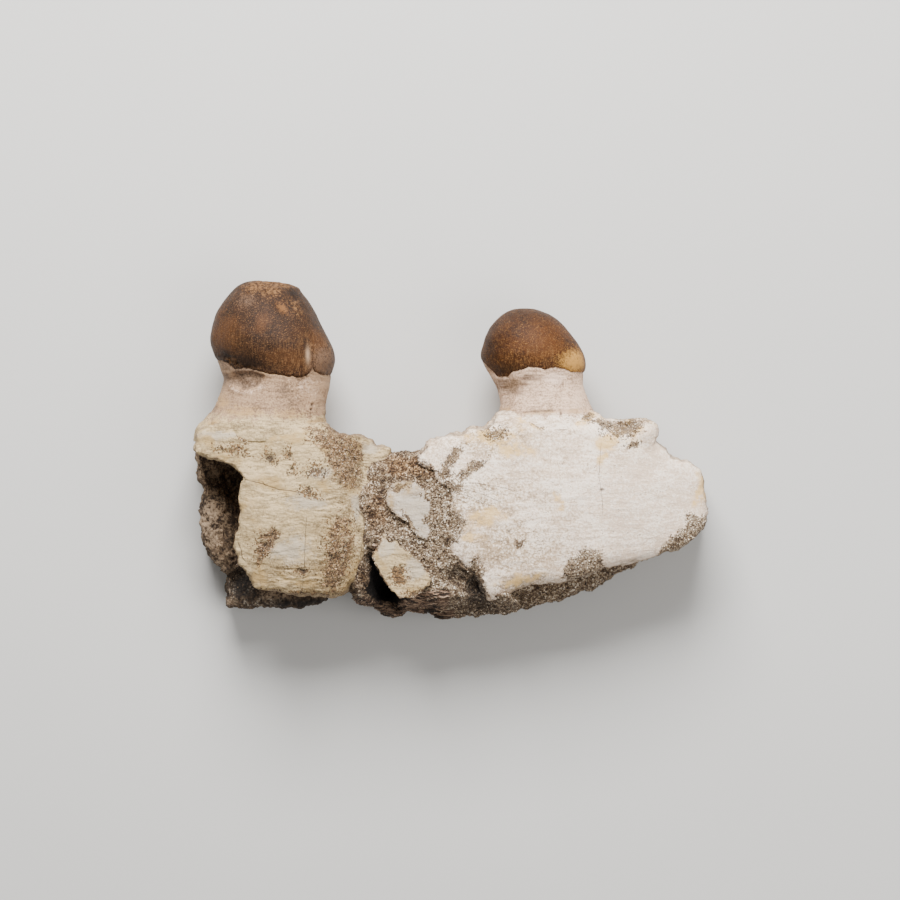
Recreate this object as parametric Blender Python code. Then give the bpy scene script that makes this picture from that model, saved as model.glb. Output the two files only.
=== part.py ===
# Piece of the lower jaw of a mosasaur with two ball-shaped crushing teeth, lying on its inner side.
#
# The jaw lies with its outer face up. +X runs along the jaw, +Y from its lower edge to the teeth,
# +Z up from the surface that it rests on. The origin is on that surface, under the middle.
# All sizes below are in millimetres, and MM turns them into metres when a mesh is made.

import bpy
import bmesh
import numpy as np
from mathutils import Matrix, Vector, noise

MM = 0.001

# Driving dimensions
FIT_GAP = 0.3          # space kept between two neighbouring pieces
JAW_THICKNESS = 46.0   # from the surface that it rests on to the outer face, at the left block
REST_SINK = 1.6        # how far a rounded underside is carried below the rest plane before it is cut flat
LARGE_TOOTH_AXIS_Z = 23.0
SMALL_TOOTH_AXIS_Z = 22.0

# Outlines seen from above, listed clockwise from a corner named beside each list
LEFT_PLATE = [  # outer plate of the left bone, from its upper left corner
    (-88.6, 7.0), (-86.5, 8.4), (-78.8, 9.8), (-65.8, 10.5), (-52.5, 10.2), (-43.8, 8.8),
    (-39.9, 6.0), (-35.0, 5.1), (-31.2, 4.9), (-28.0, 3.5), (-25.6, 1.4), (-22.4, 1.4),
    (-21.0, -0.7), (-20.0, -4.2), (-21.7, -8.1), (-26.6, -12.3), (-30.1, -16.1), (-30.5, -21.0),
    (-29.4, -25.2), (-28.7, -31.5), (-29.1, -36.4), (-31.5, -41.0), (-33.3, -44.5), (-35.0, -47.6),
    (-37.1, -50.8), (-41.3, -51.5), (-47.3, -51.5), (-53.2, -50.4), (-59.5, -49.4), (-65.8, -48.8),
    (-69.3, -47.6), (-69.7, -44.1), (-71.8, -40.6), (-73.9, -37.1), (-74.9, -33.3), (-73.5, -28.0),
    (-72.8, -22.8), (-73.5, -17.5), (-73.2, -14.0), (-71.1, -9.8), (-73.5, -7.0), (-77.0, -5.1),
    (-81.2, -3.5), (-85.8, -2.1), (-90.0, -1.0), (-90.1, 0.4), (-88.9, 2.8), (-89.0, 4.9),
]
LEFT_WALL = [  # inner wall of the left bone, from its upper left corner
    (-88.6, 6.7), (-78.8, 9.8), (-65.8, 10.5), (-52.5, 10.2), (-42.0, 8.0), (-33.3, 3.5),
    (-27.3, 0.0), (-29.4, -7.0), (-31.5, -17.5), (-30.1, -28.0), (-30.8, -38.5), (-34.3, -45.5),
    (-39.2, -50.4), (-43.1, -52.5), (-47.3, -54.3), (-52.5, -55.3), (-63.0, -55.5), (-70.0, -55.3),
    (-76.7, -55.7), (-78.8, -54.3), (-78.1, -51.8), (-78.8, -49.7), (-78.8, -44.8), (-79.8, -43.1),
    (-81.2, -39.9), (-84.7, -37.5), (-85.4, -34.7), (-87.5, -30.5), (-88.0, -26.3), (-87.9, -21.7),
    (-87.2, -15.4), (-87.5, -11.9), (-89.1, -8.4), (-89.3, -4.2), (-90.0, -0.7), (-89.6, 3.2),
]
RIGHT_BLOCK = [  # the right bone, from its upper left corner beside the matrix
    (-7.0, 3.5), (-3.5, 4.2), (0.0, 5.6), (3.9, 5.8), (7.0, 7.4), (11.6, 7.5), (14.7, 9.3),
    (17.0, 13.0), (25.0, 14.5), (35.0, 15.0), (45.0, 14.5), (51.5, 13.0), (55.0, 10.2),
    (59.5, 10.2), (63.7, 11.0), (69.3, 10.9), (71.4, 9.1), (72.5, 6.3), (72.2, 3.2),
    (74.9, 0.7), (77.0, -2.1), (80.2, -3.9), (83.3, -3.9), (85.1, -6.3), (87.5, -7.7),
    (88.6, -11.2), (89.6, -15.8), (90.3, -20.3), (90.3, -23.8), (88.2, -28.1), (84.7, -31.3),
    (80.2, -34.4), (74.9, -36.0), (68.0, -38.0), (61.9, -39.7), (54.1, -41.5), (48.5, -44.1),
    (40.8, -45.7), (30.0, -47.0), (21.0, -49.9), (14.0, -51.8), (11.8, -49.4), (10.9, -45.7),
    (9.5, -41.5), (7.0, -38.0), (4.6, -35.0), (3.9, -31.8), (4.2, -28.5), (4.9, -24.5),
    (3.0, -21.7), (0.4, -19.4), (-0.4, -16.0), (-1.0, -12.6), (-3.5, -10.0), (-6.0, -7.4),
    (-9.0, -5.2), (-11.6, -2.8), (-10.2, 0.0), (-8.8, 2.1),
]
UPPER_CHIP = [  # tongue-shaped chip of bone, from its left corner
    (-23.1, -16.5), (-21.0, -13.0), (-17.5, -10.9), (-13.3, -10.9), (-9.8, -12.6), (-7.0, -14.7),
    (-6.7, -18.2), (-7.7, -21.7), (-7.0, -25.6), (-7.0, -28.7), (-8.4, -31.5), (-10.5, -31.9),
    (-12.6, -30.1), (-14.7, -26.6), (-17.5, -23.8), (-20.3, -20.3),
]
LOWER_CHIP = [  # lower chip of bone, from its left tip
    (-27.3, -37.1), (-25.2, -34.3), (-24.2, -30.8), (-20.7, -24.8), (-18.2, -24.6), (-17.2, -28.5),
    (-15.8, -32.6), (-12.6, -35.4), (-10.2, -37.8), (-9.1, -41.0), (-7.0, -43.8), (-6.7, -47.6),
    (-8.4, -49.7), (-12.3, -51.1), (-15.8, -51.8), (-18.2, -50.8), (-21.4, -47.6), (-24.2, -43.4),
]
MATRIX_CORE = [  # rock between the two bones, from its upper left corner
    (-27.3, -3.0), (-20.3, -1.6), (-17.5, -1.6), (-14.0, -1.2), (-10.9, -0.5), (-5.3, -1.0),
    (4.0, -7.0), (10.0, -20.0), (14.0, -34.0), (18.0, -45.0), (24.5, -54.6), (19.3, -57.1),
    (10.5, -57.9), (3.5, -58.6), (-2.8, -59.3), (-5.6, -58.8), (-7.0, -56.7), (-11.2, -56.4),
    (-15.8, -57.2), (-19.3, -58.1), (-23.5, -57.6), (-26.3, -55.3), (-30.8, -54.3), (-33.3, -52.2),
    (-34.0, -50.1), (-34.6, -45.5), (-36.0, -38.5), (-35.0, -28.0), (-34.0, -17.5), (-30.0, -8.0),
]
MATRIX_LEDGE = [  # rock under the lower edge of the right bone, from its left end
    (-12.0, -50.0), (0.0, -45.0), (14.0, -42.0), (31.5, -40.0), (49.0, -35.5), (62.0, -32.5),
    (68.0, -34.5), (69.3, -37.8), (65.5, -39.6), (61.3, -41.8), (56.7, -44.5), (51.5, -47.3),
    (47.3, -49.0), (38.5, -51.8), (31.5, -53.6), (24.5, -55.3), (19.3, -56.6), (10.5, -57.4),
    (0.0, -57.4), (-8.0, -55.5),
]

# Half-widths of a tooth at heights up its axis: height, left edge, right edge, half its depth.
# The root's stem below the bone's edge sits in a socket of its own shape.
LARGE_TOOTH = [
    (0.0, -70.0, -58.0, 6.0), (0.8, -74.0, -54.0, 10.0), (3.0, -76.0, -52.5, 11.8),
    (7.0, -77.0, -52.0, 12.5), (7.0, -88.2, -41.0, 20.5), (8.8, -87.6, -42.3, 20.4),
    (10.5, -86.2, -43.0, 20.0), (14.0, -83.5, -43.3, 19.0), (17.5, -81.7, -43.1, 17.9),
    (21.0, -80.0, -42.5, 17.1), (24.5, -79.1, -42.0, 16.8), (28.0, -80.3, -41.0, 17.6),
    (31.5, -81.6, -40.3, 18.9), (35.0, -83.0, -41.0, 19.9), (38.5, -83.7, -42.4, 20.2),
    (42.0, -83.3, -43.8, 19.7), (45.5, -82.6, -45.5, 18.5), (49.0, -81.2, -47.3, 16.7),
    (52.5, -79.1, -49.7, 14.4), (55.4, -76.6, -51.9, 11.6), (57.4, -74.3, -53.6, 8.6),
    (58.6, -72.0, -58.0, 5.6), (59.2, -69.5, -61.5, 3.0),
]
LARGE_TOOTH_TIP = (-65.8, 59.6)
SMALL_TOOTH = [
    (-3.0, 29.0, 40.0, 5.0), (-2.0, 25.0, 44.0, 9.5), (5.0, 23.0, 46.0, 11.5),
    (10.5, 22.0, 47.0, 12.0), (10.5, 15.4, 53.6, 18.6), (12.3, 16.8, 52.0, 17.6),
    (15.8, 18.0, 49.9, 15.9), (19.3, 17.6, 48.3, 14.8),
    (22.8, 16.5, 46.9, 14.3), (26.3, 14.5, 47.0, 14.7), (29.8, 12.3, 47.8, 15.9),
    (33.3, 11.4, 47.3, 16.9), (36.8, 11.9, 45.6, 16.7), (40.3, 12.9, 43.2, 15.7),
    (43.8, 14.9, 40.3, 13.5), (46.4, 17.6, 37.2, 10.6), (48.2, 20.0, 33.6, 7.6),
    (49.5, 22.8, 30.0, 3.6),
]
SMALL_TOOTH_TIP = (26.2, 50.0)
LARGE_SEAT = ((-92.0, -40.0), 6.5)    # the bone is flat under the tooth: from x to x, at this y
SMALL_SEAT = ((13.0, 56.0), 10.0)

RINGS_PER_BLOCK = 14      # rings from the middle of the underside to the middle of the outer face
RINGS_PER_CHIP = 8
SIDES_PER_TOOTH = 30

BONE_COLOUR = (0.74, 0.67, 0.56)
LEFT_BONE_COLOUR = (0.70, 0.61, 0.44)
ROCK_COLOUR = (0.36, 0.27, 0.19)
ENAMEL_COLOUR = (0.20, 0.10, 0.05)


def clear_scene():
    for obj in list(bpy.data.objects):
        bpy.data.objects.remove(obj)


def new_collection(name):
    made = bpy.data.collections.new(name)
    bpy.context.scene.collection.children.link(made)
    return made


def stone_finish(name, colour, roughness):
    """A plain mineral finish of one colour."""
    made = bpy.data.materials.new(name)
    made.use_nodes = True
    shader = made.node_tree.nodes["Principled BSDF"]
    shader.inputs["Base Color"].default_value = (*colour, 1.0)
    shader.inputs["Roughness"].default_value = roughness
    shader.inputs["Metallic"].default_value = 0.0
    return made


def smoothstep(value, low, high):
    """0 below low, 1 above high, and an S-curve between them."""
    share = np.clip((value - low) / (high - low), 0.0, 1.0)
    return share * share * (3.0 - 2.0 * share)


def bump(x, y, centre, width):
    """A round bump of height 1 at centre, with its own width along X and along Y."""
    return np.exp(-(((x - centre[0]) / width[0]) ** 2) - ((y - centre[1]) / width[1]) ** 2)


def lumps(points, grain, seed):
    """Smooth random lumps between about -1 and 1, one value for each point."""
    offset = Vector((seed, 2.0 * seed, -seed))
    return np.array([noise.noise(Vector(point) / grain + offset) for point in points])


def left_outer_face(x, y):
    """Height of the left bone's outer face: a gentle dome with a step under the tooth's collar."""
    dome = JAW_THICKNESS - 3.5 * ((x + 52.0) / 36.0) ** 2 - 4.0 * ((y + 18.0) / 32.0) ** 2
    return dome - 2.5 * bump(x, y, (-30.0, -6.0), (7.0, 9.0)) - 3.0 * smoothstep(x, -38.0, -28.0)


def left_plate_underside(x, y):
    """The plate is about 12 mm thick at its broken left edge, and solid bone further in and above."""
    hollow = (1.0 - smoothstep(x, -68.0, -58.0)) * (1.0 - smoothstep(y, -5.0, 0.0))
    return 14.0 + 21.0 * hollow


def left_wall_face(x, y):
    """The inner wall seen through the broken end: a rounded ridge, with a canal behind the plate."""
    ridge = 22.0 + 3.0 * bump(x, y, (-84.0, -24.0), (5.0, 14.0))
    canal = 10.0 * bump(x, y, (-77.0, -9.0), (8.0, 6.5)) + 6.0 * bump(x, y, (-73.0, -26.0), (4.5, 18.0))
    crevice = 7.0 * bump(x, y, (-74.5, -45.0), (5.0, 5.0))
    return ridge - canal - crevice


def right_outer_face(x, y):
    """Height of the right bone's outer face: a dome that thins to its right end, and a tooth socket."""
    dome = 44.5 - 8.0 * (np.maximum(x - 22.0, 0.0) / 68.0) ** 2 - 5.0 * ((y + 14.0) / 35.0) ** 2
    hollow = 7.0 * bump(x, y, (60.0, 7.5), (5.5, 3.0))
    return dome - hollow - 2.5 * (1.0 - smoothstep(x, -12.0, 4.0))


def matrix_face(x, y):
    """Height of the rock between the bones, with a deep gap below the left bone's lower corner."""
    rock = 40.5 - 1.5 * ((y + 24.0) / 26.0) ** 2
    gap = 29.0 * bump(x, y, (-25.5, -50.0), (6.5, 6.5)) + 10.0 * bump(x, y, (-27.8, -41.0), (2.6, 4.5))
    shadow = 9.0 * bump(x, y, (8.0, -50.0), (5.0, 6.0))
    lower_edge = 12.0 * smoothstep(-y, 50.0, 57.0)
    return rock - gap - shadow - lower_edge


def ledge_face(x, y):
    """The rock ledge under the right bone falls towards its own lower edge and its right end."""
    below_bone = (y + 46.0 - 0.11 * (x - 20.0)) / 10.0
    return 29.0 + 4.0 * below_bone - 0.12 * np.maximum(x - 30.0, 0.0)


def underside(x, y):
    """The inner side of the jaw: flat where it rests, rising to its upper, lower and end edges."""
    across = ((y + 22.0) / 34.0) ** 2
    along = np.maximum(np.abs(x) - 70.0, 0.0) / 20.0
    return -REST_SINK + 4.5 * across + 3.0 * along


def even_angles(count, exponent, reach, half_thickness):
    """Angles from the underside's middle to the outer face's middle that space the rings evenly."""
    fine = np.linspace(-np.pi / 2, np.pi / 2, 4001)
    out = reach * np.cos(fine) ** exponent
    up = half_thickness * np.sign(fine) * np.abs(np.sin(fine)) ** exponent
    along = np.concatenate([[0.0], np.cumsum(np.hypot(np.diff(out), np.diff(up)))])
    return np.interp(np.linspace(0.0, along[-1], count), along, fine)


def core_points(outline, spine):
    """The point of the spine, a bent line inside the outline, that is nearest each outline point."""
    best = np.zeros_like(outline)
    nearest = np.full(len(outline), np.inf)
    for start, end in zip(np.array(spine[:-1]), np.array(spine[1:])):
        run = end - start
        share = np.clip((outline - start) @ run / (run @ run), 0.0, 1.0)
        point = start + share[:, None] * run
        distance = np.linalg.norm(outline - point, axis=1)
        closer = distance < nearest
        best[closer], nearest[closer] = point[closer], distance[closer]
    return best


def block_points(outline, spine, bottom, face, exponent, rings):
    """Points of a rounded block, ring by ring.

    Each ring is the outline drawn in towards the spine. A ring at angle a is drawn in by
    cos(a) to a small power and stands between bottom and face by sin(a) to that power,
    which gives flat faces, steep sides and rounded edges. Below the rest plane it is cut flat.
    """
    outline = np.array(outline)
    core = core_points(outline, spine)
    reach = np.linalg.norm(outline - core, axis=1).mean()
    angles = even_angles(rings, exponent, reach, JAW_THICKNESS / 2)
    shrink = np.clip(np.cos(angles), 0.0, 1.0) ** exponent
    lift = np.sign(angles) * np.abs(np.sin(angles)) ** exponent
    flat = core[None] + shrink[:, None, None] * (outline - core)[None]
    low, high = bottom(flat[..., 0], flat[..., 1]), face(flat[..., 0], flat[..., 1])
    height = (low + high) / 2 + lift[:, None] * (high - low) / 2
    return np.dstack([flat, np.maximum(height, 0.0)])


def mesh_from_rings(name, rings):
    """A UV sphere primitive whose rings of points are moved to the given ones, poles included."""
    count, sides = rings.shape[:2]
    shape = bmesh.new()
    bmesh.ops.create_uvsphere(shape, u_segments=sides, v_segments=count - 1, radius=1.0)
    for vert in shape.verts:
        level = round(np.arccos(np.clip(-vert.co.z, -1.0, 1.0)) / np.pi * (count - 1))
        turn = round(np.arctan2(vert.co.y, vert.co.x) / (2 * np.pi) * sides) % sides
        is_pole = level in (0, count - 1)
        point = rings[level].mean(axis=0) if is_pole else rings[level, turn]
        vert.co = Vector(point) * MM
    if shape.calc_volume(signed=True) < 0:
        bmesh.ops.reverse_faces(shape, faces=shape.faces)
    mesh = bpy.data.meshes.new(name)
    shape.to_mesh(mesh)
    shape.free()
    return mesh


def add_object(name, mesh, collection):
    obj = bpy.data.objects.new(name, mesh)
    collection.objects.link(obj)
    return obj


def add_cutter(name, mesh, cutters):
    """A helper shape that is only cut away from a piece or joined to one."""
    cutter = add_object(name, mesh, cutters)
    cutter.hide_render = True
    cutter.display_type = "WIRE"
    return cutter


def roughened(rings, amount, grain, seed):
    """The rings with lumps, as broken bone and rock have, that leave the rest plane flat."""
    shape = rings.reshape(-1, 3)
    away = shape - shape.mean(axis=0)
    away /= np.linalg.norm(away, axis=1)[:, None]
    moved = shape + amount * lumps(shape, grain, seed)[:, None] * away
    on_floor = shape[:, 2] < 0.01
    moved[on_floor] = shape[on_floor]
    moved[:, 2] = np.maximum(moved[:, 2], 0.0)
    return moved.reshape(rings.shape)


def tooth_rings(stations, tip, axis_z, sides):
    """Oval cross-sections of a tooth up its height, closed at the root's foot and at the tip."""
    turn = np.arange(sides) * 2 * np.pi / sides
    rings = []
    for height, left, right, half_depth in stations:
        across = (left + right) / 2 + (right - left) / 2 * np.cos(turn)
        deep = axis_z + half_depth * np.sin(turn)
        rings.append(np.column_stack([across, np.full(sides, height), deep]))
    foot = np.tile(rings[0].mean(axis=0), (sides, 1))
    crest = np.tile([tip[0], tip[1], axis_z], (sides, 1))
    return np.array([foot, *rings, crest])


def stand_over_origin(pieces):
    """Moves the pieces together so that the origin is under the middle of their common box."""
    points = np.array([vert.co for piece in pieces for vert in piece.data.vertices])
    middle = (points.min(axis=0) + points.max(axis=0)) / 2
    for piece in pieces:
        piece.data.transform(Matrix.Translation((-middle[0], -middle[1], 0.0)))


def boolean(target, other, operation):
    """Joins other to target, or cuts it away, and keeps the result as the target's own mesh."""
    modifier = target.modifiers.new(operation.title(), "BOOLEAN")
    modifier.operation = operation
    modifier.object = other
    bpy.context.view_layer.update()
    evaluated = target.evaluated_get(bpy.context.evaluated_depsgraph_get())
    target.data = bpy.data.meshes.new_from_object(evaluated)
    target.modifiers.clear()


def grown_cutter(obj, cutters):
    """A helper in the shape of obj, larger by the gap that neighbouring pieces keep."""
    mesh = obj.data.copy()
    normals = np.array([vert.normal for vert in mesh.vertices])
    points = np.array([vert.co for vert in mesh.vertices])
    mesh.vertices.foreach_set("co", (points + FIT_GAP * MM * normals).ravel())
    return add_cutter(obj.name + "_cutter", mesh, cutters)


def seat_cutter(name, seat, cutters):
    """A box above the seat, to level the bone where a tooth stands."""
    (left, right), level = seat
    shape = bmesh.new()
    bmesh.ops.create_cube(shape, size=1.0)
    bmesh.ops.scale(shape, vec=Vector((right - left, 12.0, JAW_THICKNESS + 20.0)) * MM, verts=shape.verts)
    centre = Vector(((left + right) / 2, level + 6.0, JAW_THICKNESS / 2)) * MM
    bmesh.ops.translate(shape, vec=centre, verts=shape.verts)
    mesh = bpy.data.meshes.new(name)
    shape.to_mesh(mesh)
    shape.free()
    return add_cutter(name, mesh, cutters)


def make_tooth(name, stations, tip, axis_z, collection):
    rings = tooth_rings(stations, tip, axis_z, SIDES_PER_TOOTH)
    return add_object(name, mesh_from_rings(name, rings), collection)


def make_left_bone(collection, cutters):
    """Outer plate and inner wall, grown together above and to the right, open at the broken end."""
    plate = block_points(LEFT_PLATE, ((-66.0, -2.0), (-52.0, -30.0)), left_plate_underside,
                         left_outer_face, 0.20, RINGS_PER_BLOCK)
    wall = block_points(LEFT_WALL, ((-62.0, -6.0), (-60.0, -38.0)), underside,
                        left_wall_face, 0.32, RINGS_PER_BLOCK)
    bone = add_object("bone_left", mesh_from_rings("bone_left", roughened(plate, 0.5, 7.0, 3.0)), collection)
    inner = add_cutter("inner_wall", mesh_from_rings("inner_wall", roughened(wall, 0.9, 6.0, 5.0)), cutters)
    boolean(bone, inner, "UNION")
    return bone


def make_right_bone(collection):
    rings = block_points(RIGHT_BLOCK, ((12.0, -16.0), (62.0, -16.0)), underside,
                         right_outer_face, 0.22, RINGS_PER_BLOCK)
    return add_object("bone_right", mesh_from_rings("bone_right", roughened(rings, 0.5, 7.0, 8.0)), collection)


def make_chip(name, outline, spine, face_height, thickness, collection):
    """A flake of the outer bone, bedded in the rock."""
    def face(x, y):
        return np.full_like(x, face_height) - 0.02 * (y + 30.0)

    def back(x, y):
        return face(x, y) - thickness

    rings = block_points(outline, spine, back, face, 0.30, RINGS_PER_CHIP)
    return add_object(name, mesh_from_rings(name, rings), collection)


def make_matrix(collection, cutters):
    """Sandy rock that fills the break and shows as a ledge under the right bone."""
    core = block_points(MATRIX_CORE, ((-12.0, -14.0), (-10.0, -44.0)), underside,
                        matrix_face, 0.25, RINGS_PER_BLOCK)
    ledge = block_points(MATRIX_LEDGE, ((0.0, -51.0), (58.0, -39.0)), underside,
                         ledge_face, 0.40, RINGS_PER_CHIP + 2)
    rock = add_object("matrix", mesh_from_rings("matrix", roughened(core, 1.0, 5.0, 11.0)), collection)
    arm = add_cutter("ledge", mesh_from_rings("ledge", roughened(ledge, 0.8, 5.0, 13.0)), cutters)
    boolean(rock, arm, "UNION")
    return rock


def main():
    clear_scene()
    parts = new_collection("fossil_mosasaur_jaw")
    cutters = new_collection("cutters")

    large_tooth = make_tooth("tooth_large", LARGE_TOOTH, LARGE_TOOTH_TIP, LARGE_TOOTH_AXIS_Z, parts)
    small_tooth = make_tooth("tooth_small", SMALL_TOOTH, SMALL_TOOTH_TIP, SMALL_TOOTH_AXIS_Z, parts)
    left_bone = make_left_bone(parts, cutters)
    right_bone = make_right_bone(parts)
    upper_chip = make_chip("bone_chip_upper", UPPER_CHIP, ((-15.0, -17.0), (-11.5, -26.0)), 42.0, 7.0, parts)
    lower_chip = make_chip("bone_chip_lower", LOWER_CHIP, ((-19.0, -35.0), (-14.0, -45.0)), 41.5, 7.0, parts)
    matrix = make_matrix(parts, cutters)

    for bedded in (left_bone, right_bone, upper_chip, lower_chip):
        boolean(matrix, grown_cutter(bedded, cutters), "DIFFERENCE")
    boolean(left_bone, seat_cutter("large_seat", LARGE_SEAT, cutters), "DIFFERENCE")
    boolean(right_bone, seat_cutter("small_seat", SMALL_SEAT, cutters), "DIFFERENCE")
    boolean(left_bone, grown_cutter(large_tooth, cutters), "DIFFERENCE")
    boolean(right_bone, grown_cutter(small_tooth, cutters), "DIFFERENCE")

    bone = stone_finish("pale_bone", BONE_COLOUR, 0.8)
    yellow_bone = stone_finish("yellowed_bone", LEFT_BONE_COLOUR, 0.8)
    rock = stone_finish("sandy_rock", ROCK_COLOUR, 0.95)
    enamel = stone_finish("brown_enamel", ENAMEL_COLOUR, 0.35)
    finishes = ((left_bone, yellow_bone), (right_bone, bone), (upper_chip, bone), (lower_chip, yellow_bone),
                (matrix, rock), (large_tooth, enamel), (small_tooth, enamel))
    for piece, finish in finishes:
        piece.data.materials.clear()
        piece.data.materials.append(finish)
    stand_over_origin([piece for piece, finish in finishes])


main()
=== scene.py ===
# %% [markdown]
# # A fossil jaw with two crushing teeth
#
# This notebook dresses the solid model of a broken fossil jaw: two pieces of bone, two chips, the sandy
# rock that holds them together and two ball-shaped teeth. The solids arrive as a fixed frame. Each piece
# below is a finer surface that stands for one of them, in the same place and at the same size.

# %% Load the solids
import math

import bpy
import numpy as np
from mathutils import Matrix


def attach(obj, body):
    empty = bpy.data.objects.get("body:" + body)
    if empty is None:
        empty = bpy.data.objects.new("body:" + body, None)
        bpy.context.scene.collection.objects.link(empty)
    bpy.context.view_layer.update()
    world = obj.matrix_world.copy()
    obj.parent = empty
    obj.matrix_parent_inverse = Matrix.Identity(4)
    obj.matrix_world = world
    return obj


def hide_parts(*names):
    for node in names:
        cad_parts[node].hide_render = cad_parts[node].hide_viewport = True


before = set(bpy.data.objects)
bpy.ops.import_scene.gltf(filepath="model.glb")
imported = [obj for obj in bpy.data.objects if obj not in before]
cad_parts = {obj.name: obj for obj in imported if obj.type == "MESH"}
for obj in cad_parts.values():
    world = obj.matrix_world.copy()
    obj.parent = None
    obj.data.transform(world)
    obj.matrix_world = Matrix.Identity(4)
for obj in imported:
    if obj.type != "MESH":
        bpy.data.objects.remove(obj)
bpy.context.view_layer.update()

print("solids:", sorted(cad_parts))

# %% [markdown]
# The jaw is thought out in millimetres, as a person with callipers would do it, and every mesh is turned
# to metres when it is made. The camera hangs straight above the jaw, which lies on its inner side. A point
# near the camera looks larger, so an outline read at the height of the middle plane is drawn in a little
# for a surface that lies higher. One function does that for all pieces.

# %% Sizes and the camera's height
MM = 0.001                    # a millimetre in metres, Blender's own unit
VIEW_WIDTH = 316.4            # what the picture's width spans on the middle plane
MIDDLE_PLANE = 23             # the height at which the outlines are given
LENS, SENSOR = 180, 36        # long, so that the sides hardly show
CAMERA_DISTANCE = VIEW_WIDTH * LENS / SENSOR


def drawn_in(points, height):
    """Outline points of the middle plane, moved to where they are seen the same at another height.

    Lines of sight meet at the camera, so x and y shrink by (distance - rise) / distance.
    """
    return np.array(points) * (CAMERA_DISTANCE - (height - MIDDLE_PLANE)) / CAMERA_DISTANCE


print("camera distance, mm:", CAMERA_DISTANCE)

# %% [markdown]
# Broken bone and rock are never smooth, and a few kinds of noise give almost all of it. The noise is worked
# out here with numpy and not by a Displace modifier, because the same numbers also tell the finish where
# a hollow or an edge is. Value noise is a lattice of random numbers with smooth curves between them.
# Fractal noise adds finer and finer layers of it. Cell noise gives pebbles.

# %% Noise for whole arrays of points
def ease(value, low, high):
    """An S-curve from 0 at low to 1 at high: t * t * (3 - 2 * t)."""
    share = np.clip((value - low) / (high - low), 0, 1)
    return share * share * (3 - 2 * share)


def lattice(cells, seed):
    """One steady random number from 0 to 1 for each lattice cell, from scrambled whole numbers."""
    x, y, z = (cells[..., axis].astype(np.int64) for axis in range(3))
    mixed = ((x * 73856093) ^ (y * 19349663) ^ (z * 83492791) ^ (seed * 2654435)) & 0xFFFFFFFF
    mixed = ((mixed ^ (mixed >> 15)) * 668265263) & 0xFFFFFFFF
    mixed = ((mixed ^ (mixed >> 13)) * 374761393) & 0xFFFFFFFF
    return ((mixed ^ (mixed >> 16)) & 0xFFFFFF) / 0xFFFFFF


def smooth_noise(points, grain, seed):
    """Value noise from -1 to 1: the eight lattice numbers round a point, blended with S-curves."""
    scaled = points / grain
    base = np.floor(scaled)
    share = scaled - base
    share = share * share * (3 - 2 * share)
    total = np.zeros(points.shape[:-1])
    for corner in np.ndindex(2, 2, 2):
        weight = np.prod(np.where(corner, share, 1 - share), axis=-1)
        total += weight * lattice(base + corner, seed)
    return 2 * total - 1


# a turn that keeps lengths, so that the lattices of two layers never line up
TURN = np.array([[0.80, 0.36, -0.48], [-0.60, 0.48, -0.64], [0, 0.80, 0.60]])


def rough_noise(points, grain, seed, layers=4, keep=0.5):
    """Fractal noise: each layer is turned, half the size and keep times the strength of the last."""
    total, strength = np.zeros(points.shape[:-1]), 1
    for layer in range(layers):
        total += strength * smooth_noise(points, grain / 2 ** layer, seed + layer)
        points, strength = points @ TURN, strength * keep
    return total


def pebbles(points, grain, seed):
    """Cell noise: 1 at the middle of each pebble, falling with the distance from the nearest middle."""
    scaled = points / grain
    base = np.floor(scaled)
    nearest = np.full(points.shape[:-1], 9.0)
    for step in np.ndindex(3, 3, 3):
        cell = base + np.array(step) - 1
        middle = cell + np.stack([lattice(cell, seed + axis) for axis in range(3)], axis=-1)
        nearest = np.minimum(nearest, np.sum((scaled - middle) ** 2, axis=-1))
    return 1 - np.sqrt(nearest)


test_points = np.random.default_rng(1).uniform(-50, 50, (2000, 3))
print("noise spread:", smooth_noise(test_points, 5, 3).std().round(2))

# %% [markdown]
# Marks on the bone, such as a stain, a crack or a patch of sand, each have a place. A mark is a number from
# 0 to 1 at every point of a surface: a soft round spot, a closed patch, or a thin line. Distances are
# measured for all points at once, so the marks cost little and can be shaped by noise at their edges.

# %% Marks that have a place
def spot(x, y, centre_x, centre_y, width_x, width_y, turn=0):
    """A soft oval: e to minus the squared distance, counted in widths along axes turned by turn degrees."""
    c, s = math.cos(math.radians(turn)), math.sin(math.radians(turn))
    along = (c * (x - centre_x) + s * (y - centre_y)) / width_x
    across = (c * (y - centre_y) - s * (x - centre_x)) / width_y
    return np.exp(-along ** 2 - across ** 2)


def spots(x, y, ovals):
    """The strongest of several ovals, each given as spot's numbers from centre_x on."""
    return np.max([spot(x, y, *oval) for oval in ovals], axis=0)


def line_distance(x, y, corners):
    """Distance to a bent line: for each straight run, the distance to the nearest point on it."""
    corners = np.array(corners, float)
    nearest = np.full(x.shape, np.inf)
    for (ax, ay), (bx, by) in zip(corners[:-1], corners[1:]):
        run_x, run_y = bx - ax, by - ay
        share = ((x - ax) * run_x + (y - ay) * run_y) / max(run_x ** 2 + run_y ** 2, 1e-9)
        share = np.clip(share, 0, 1)
        nearest = np.minimum(nearest, np.hypot(x - ax - share * run_x, y - ay - share * run_y))
    return nearest


def patch_depth(x, y, corners):
    """How far inside a closed outline a point lies, negative outside.

    A point is inside if a level line from it crosses the outline an odd number of times.
    """
    corners = np.array(corners, float)
    following = np.roll(corners, -1, axis=0)
    inside = np.zeros(x.shape, bool)
    for (ax, ay), (bx, by) in zip(corners, following):
        if ay != by:
            crosses = ((ay > y) != (by > y)) & (x < (bx - ax) * (y - ay) / (by - ay) + ax)
            inside ^= crosses
    distance = line_distance(x, y, np.vstack([corners, corners[:1]]))
    return np.where(inside, distance, -distance)


print("a spot at one width from its middle:", spot(1, 0, 0, 0, 1, 1).round(2))

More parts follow.
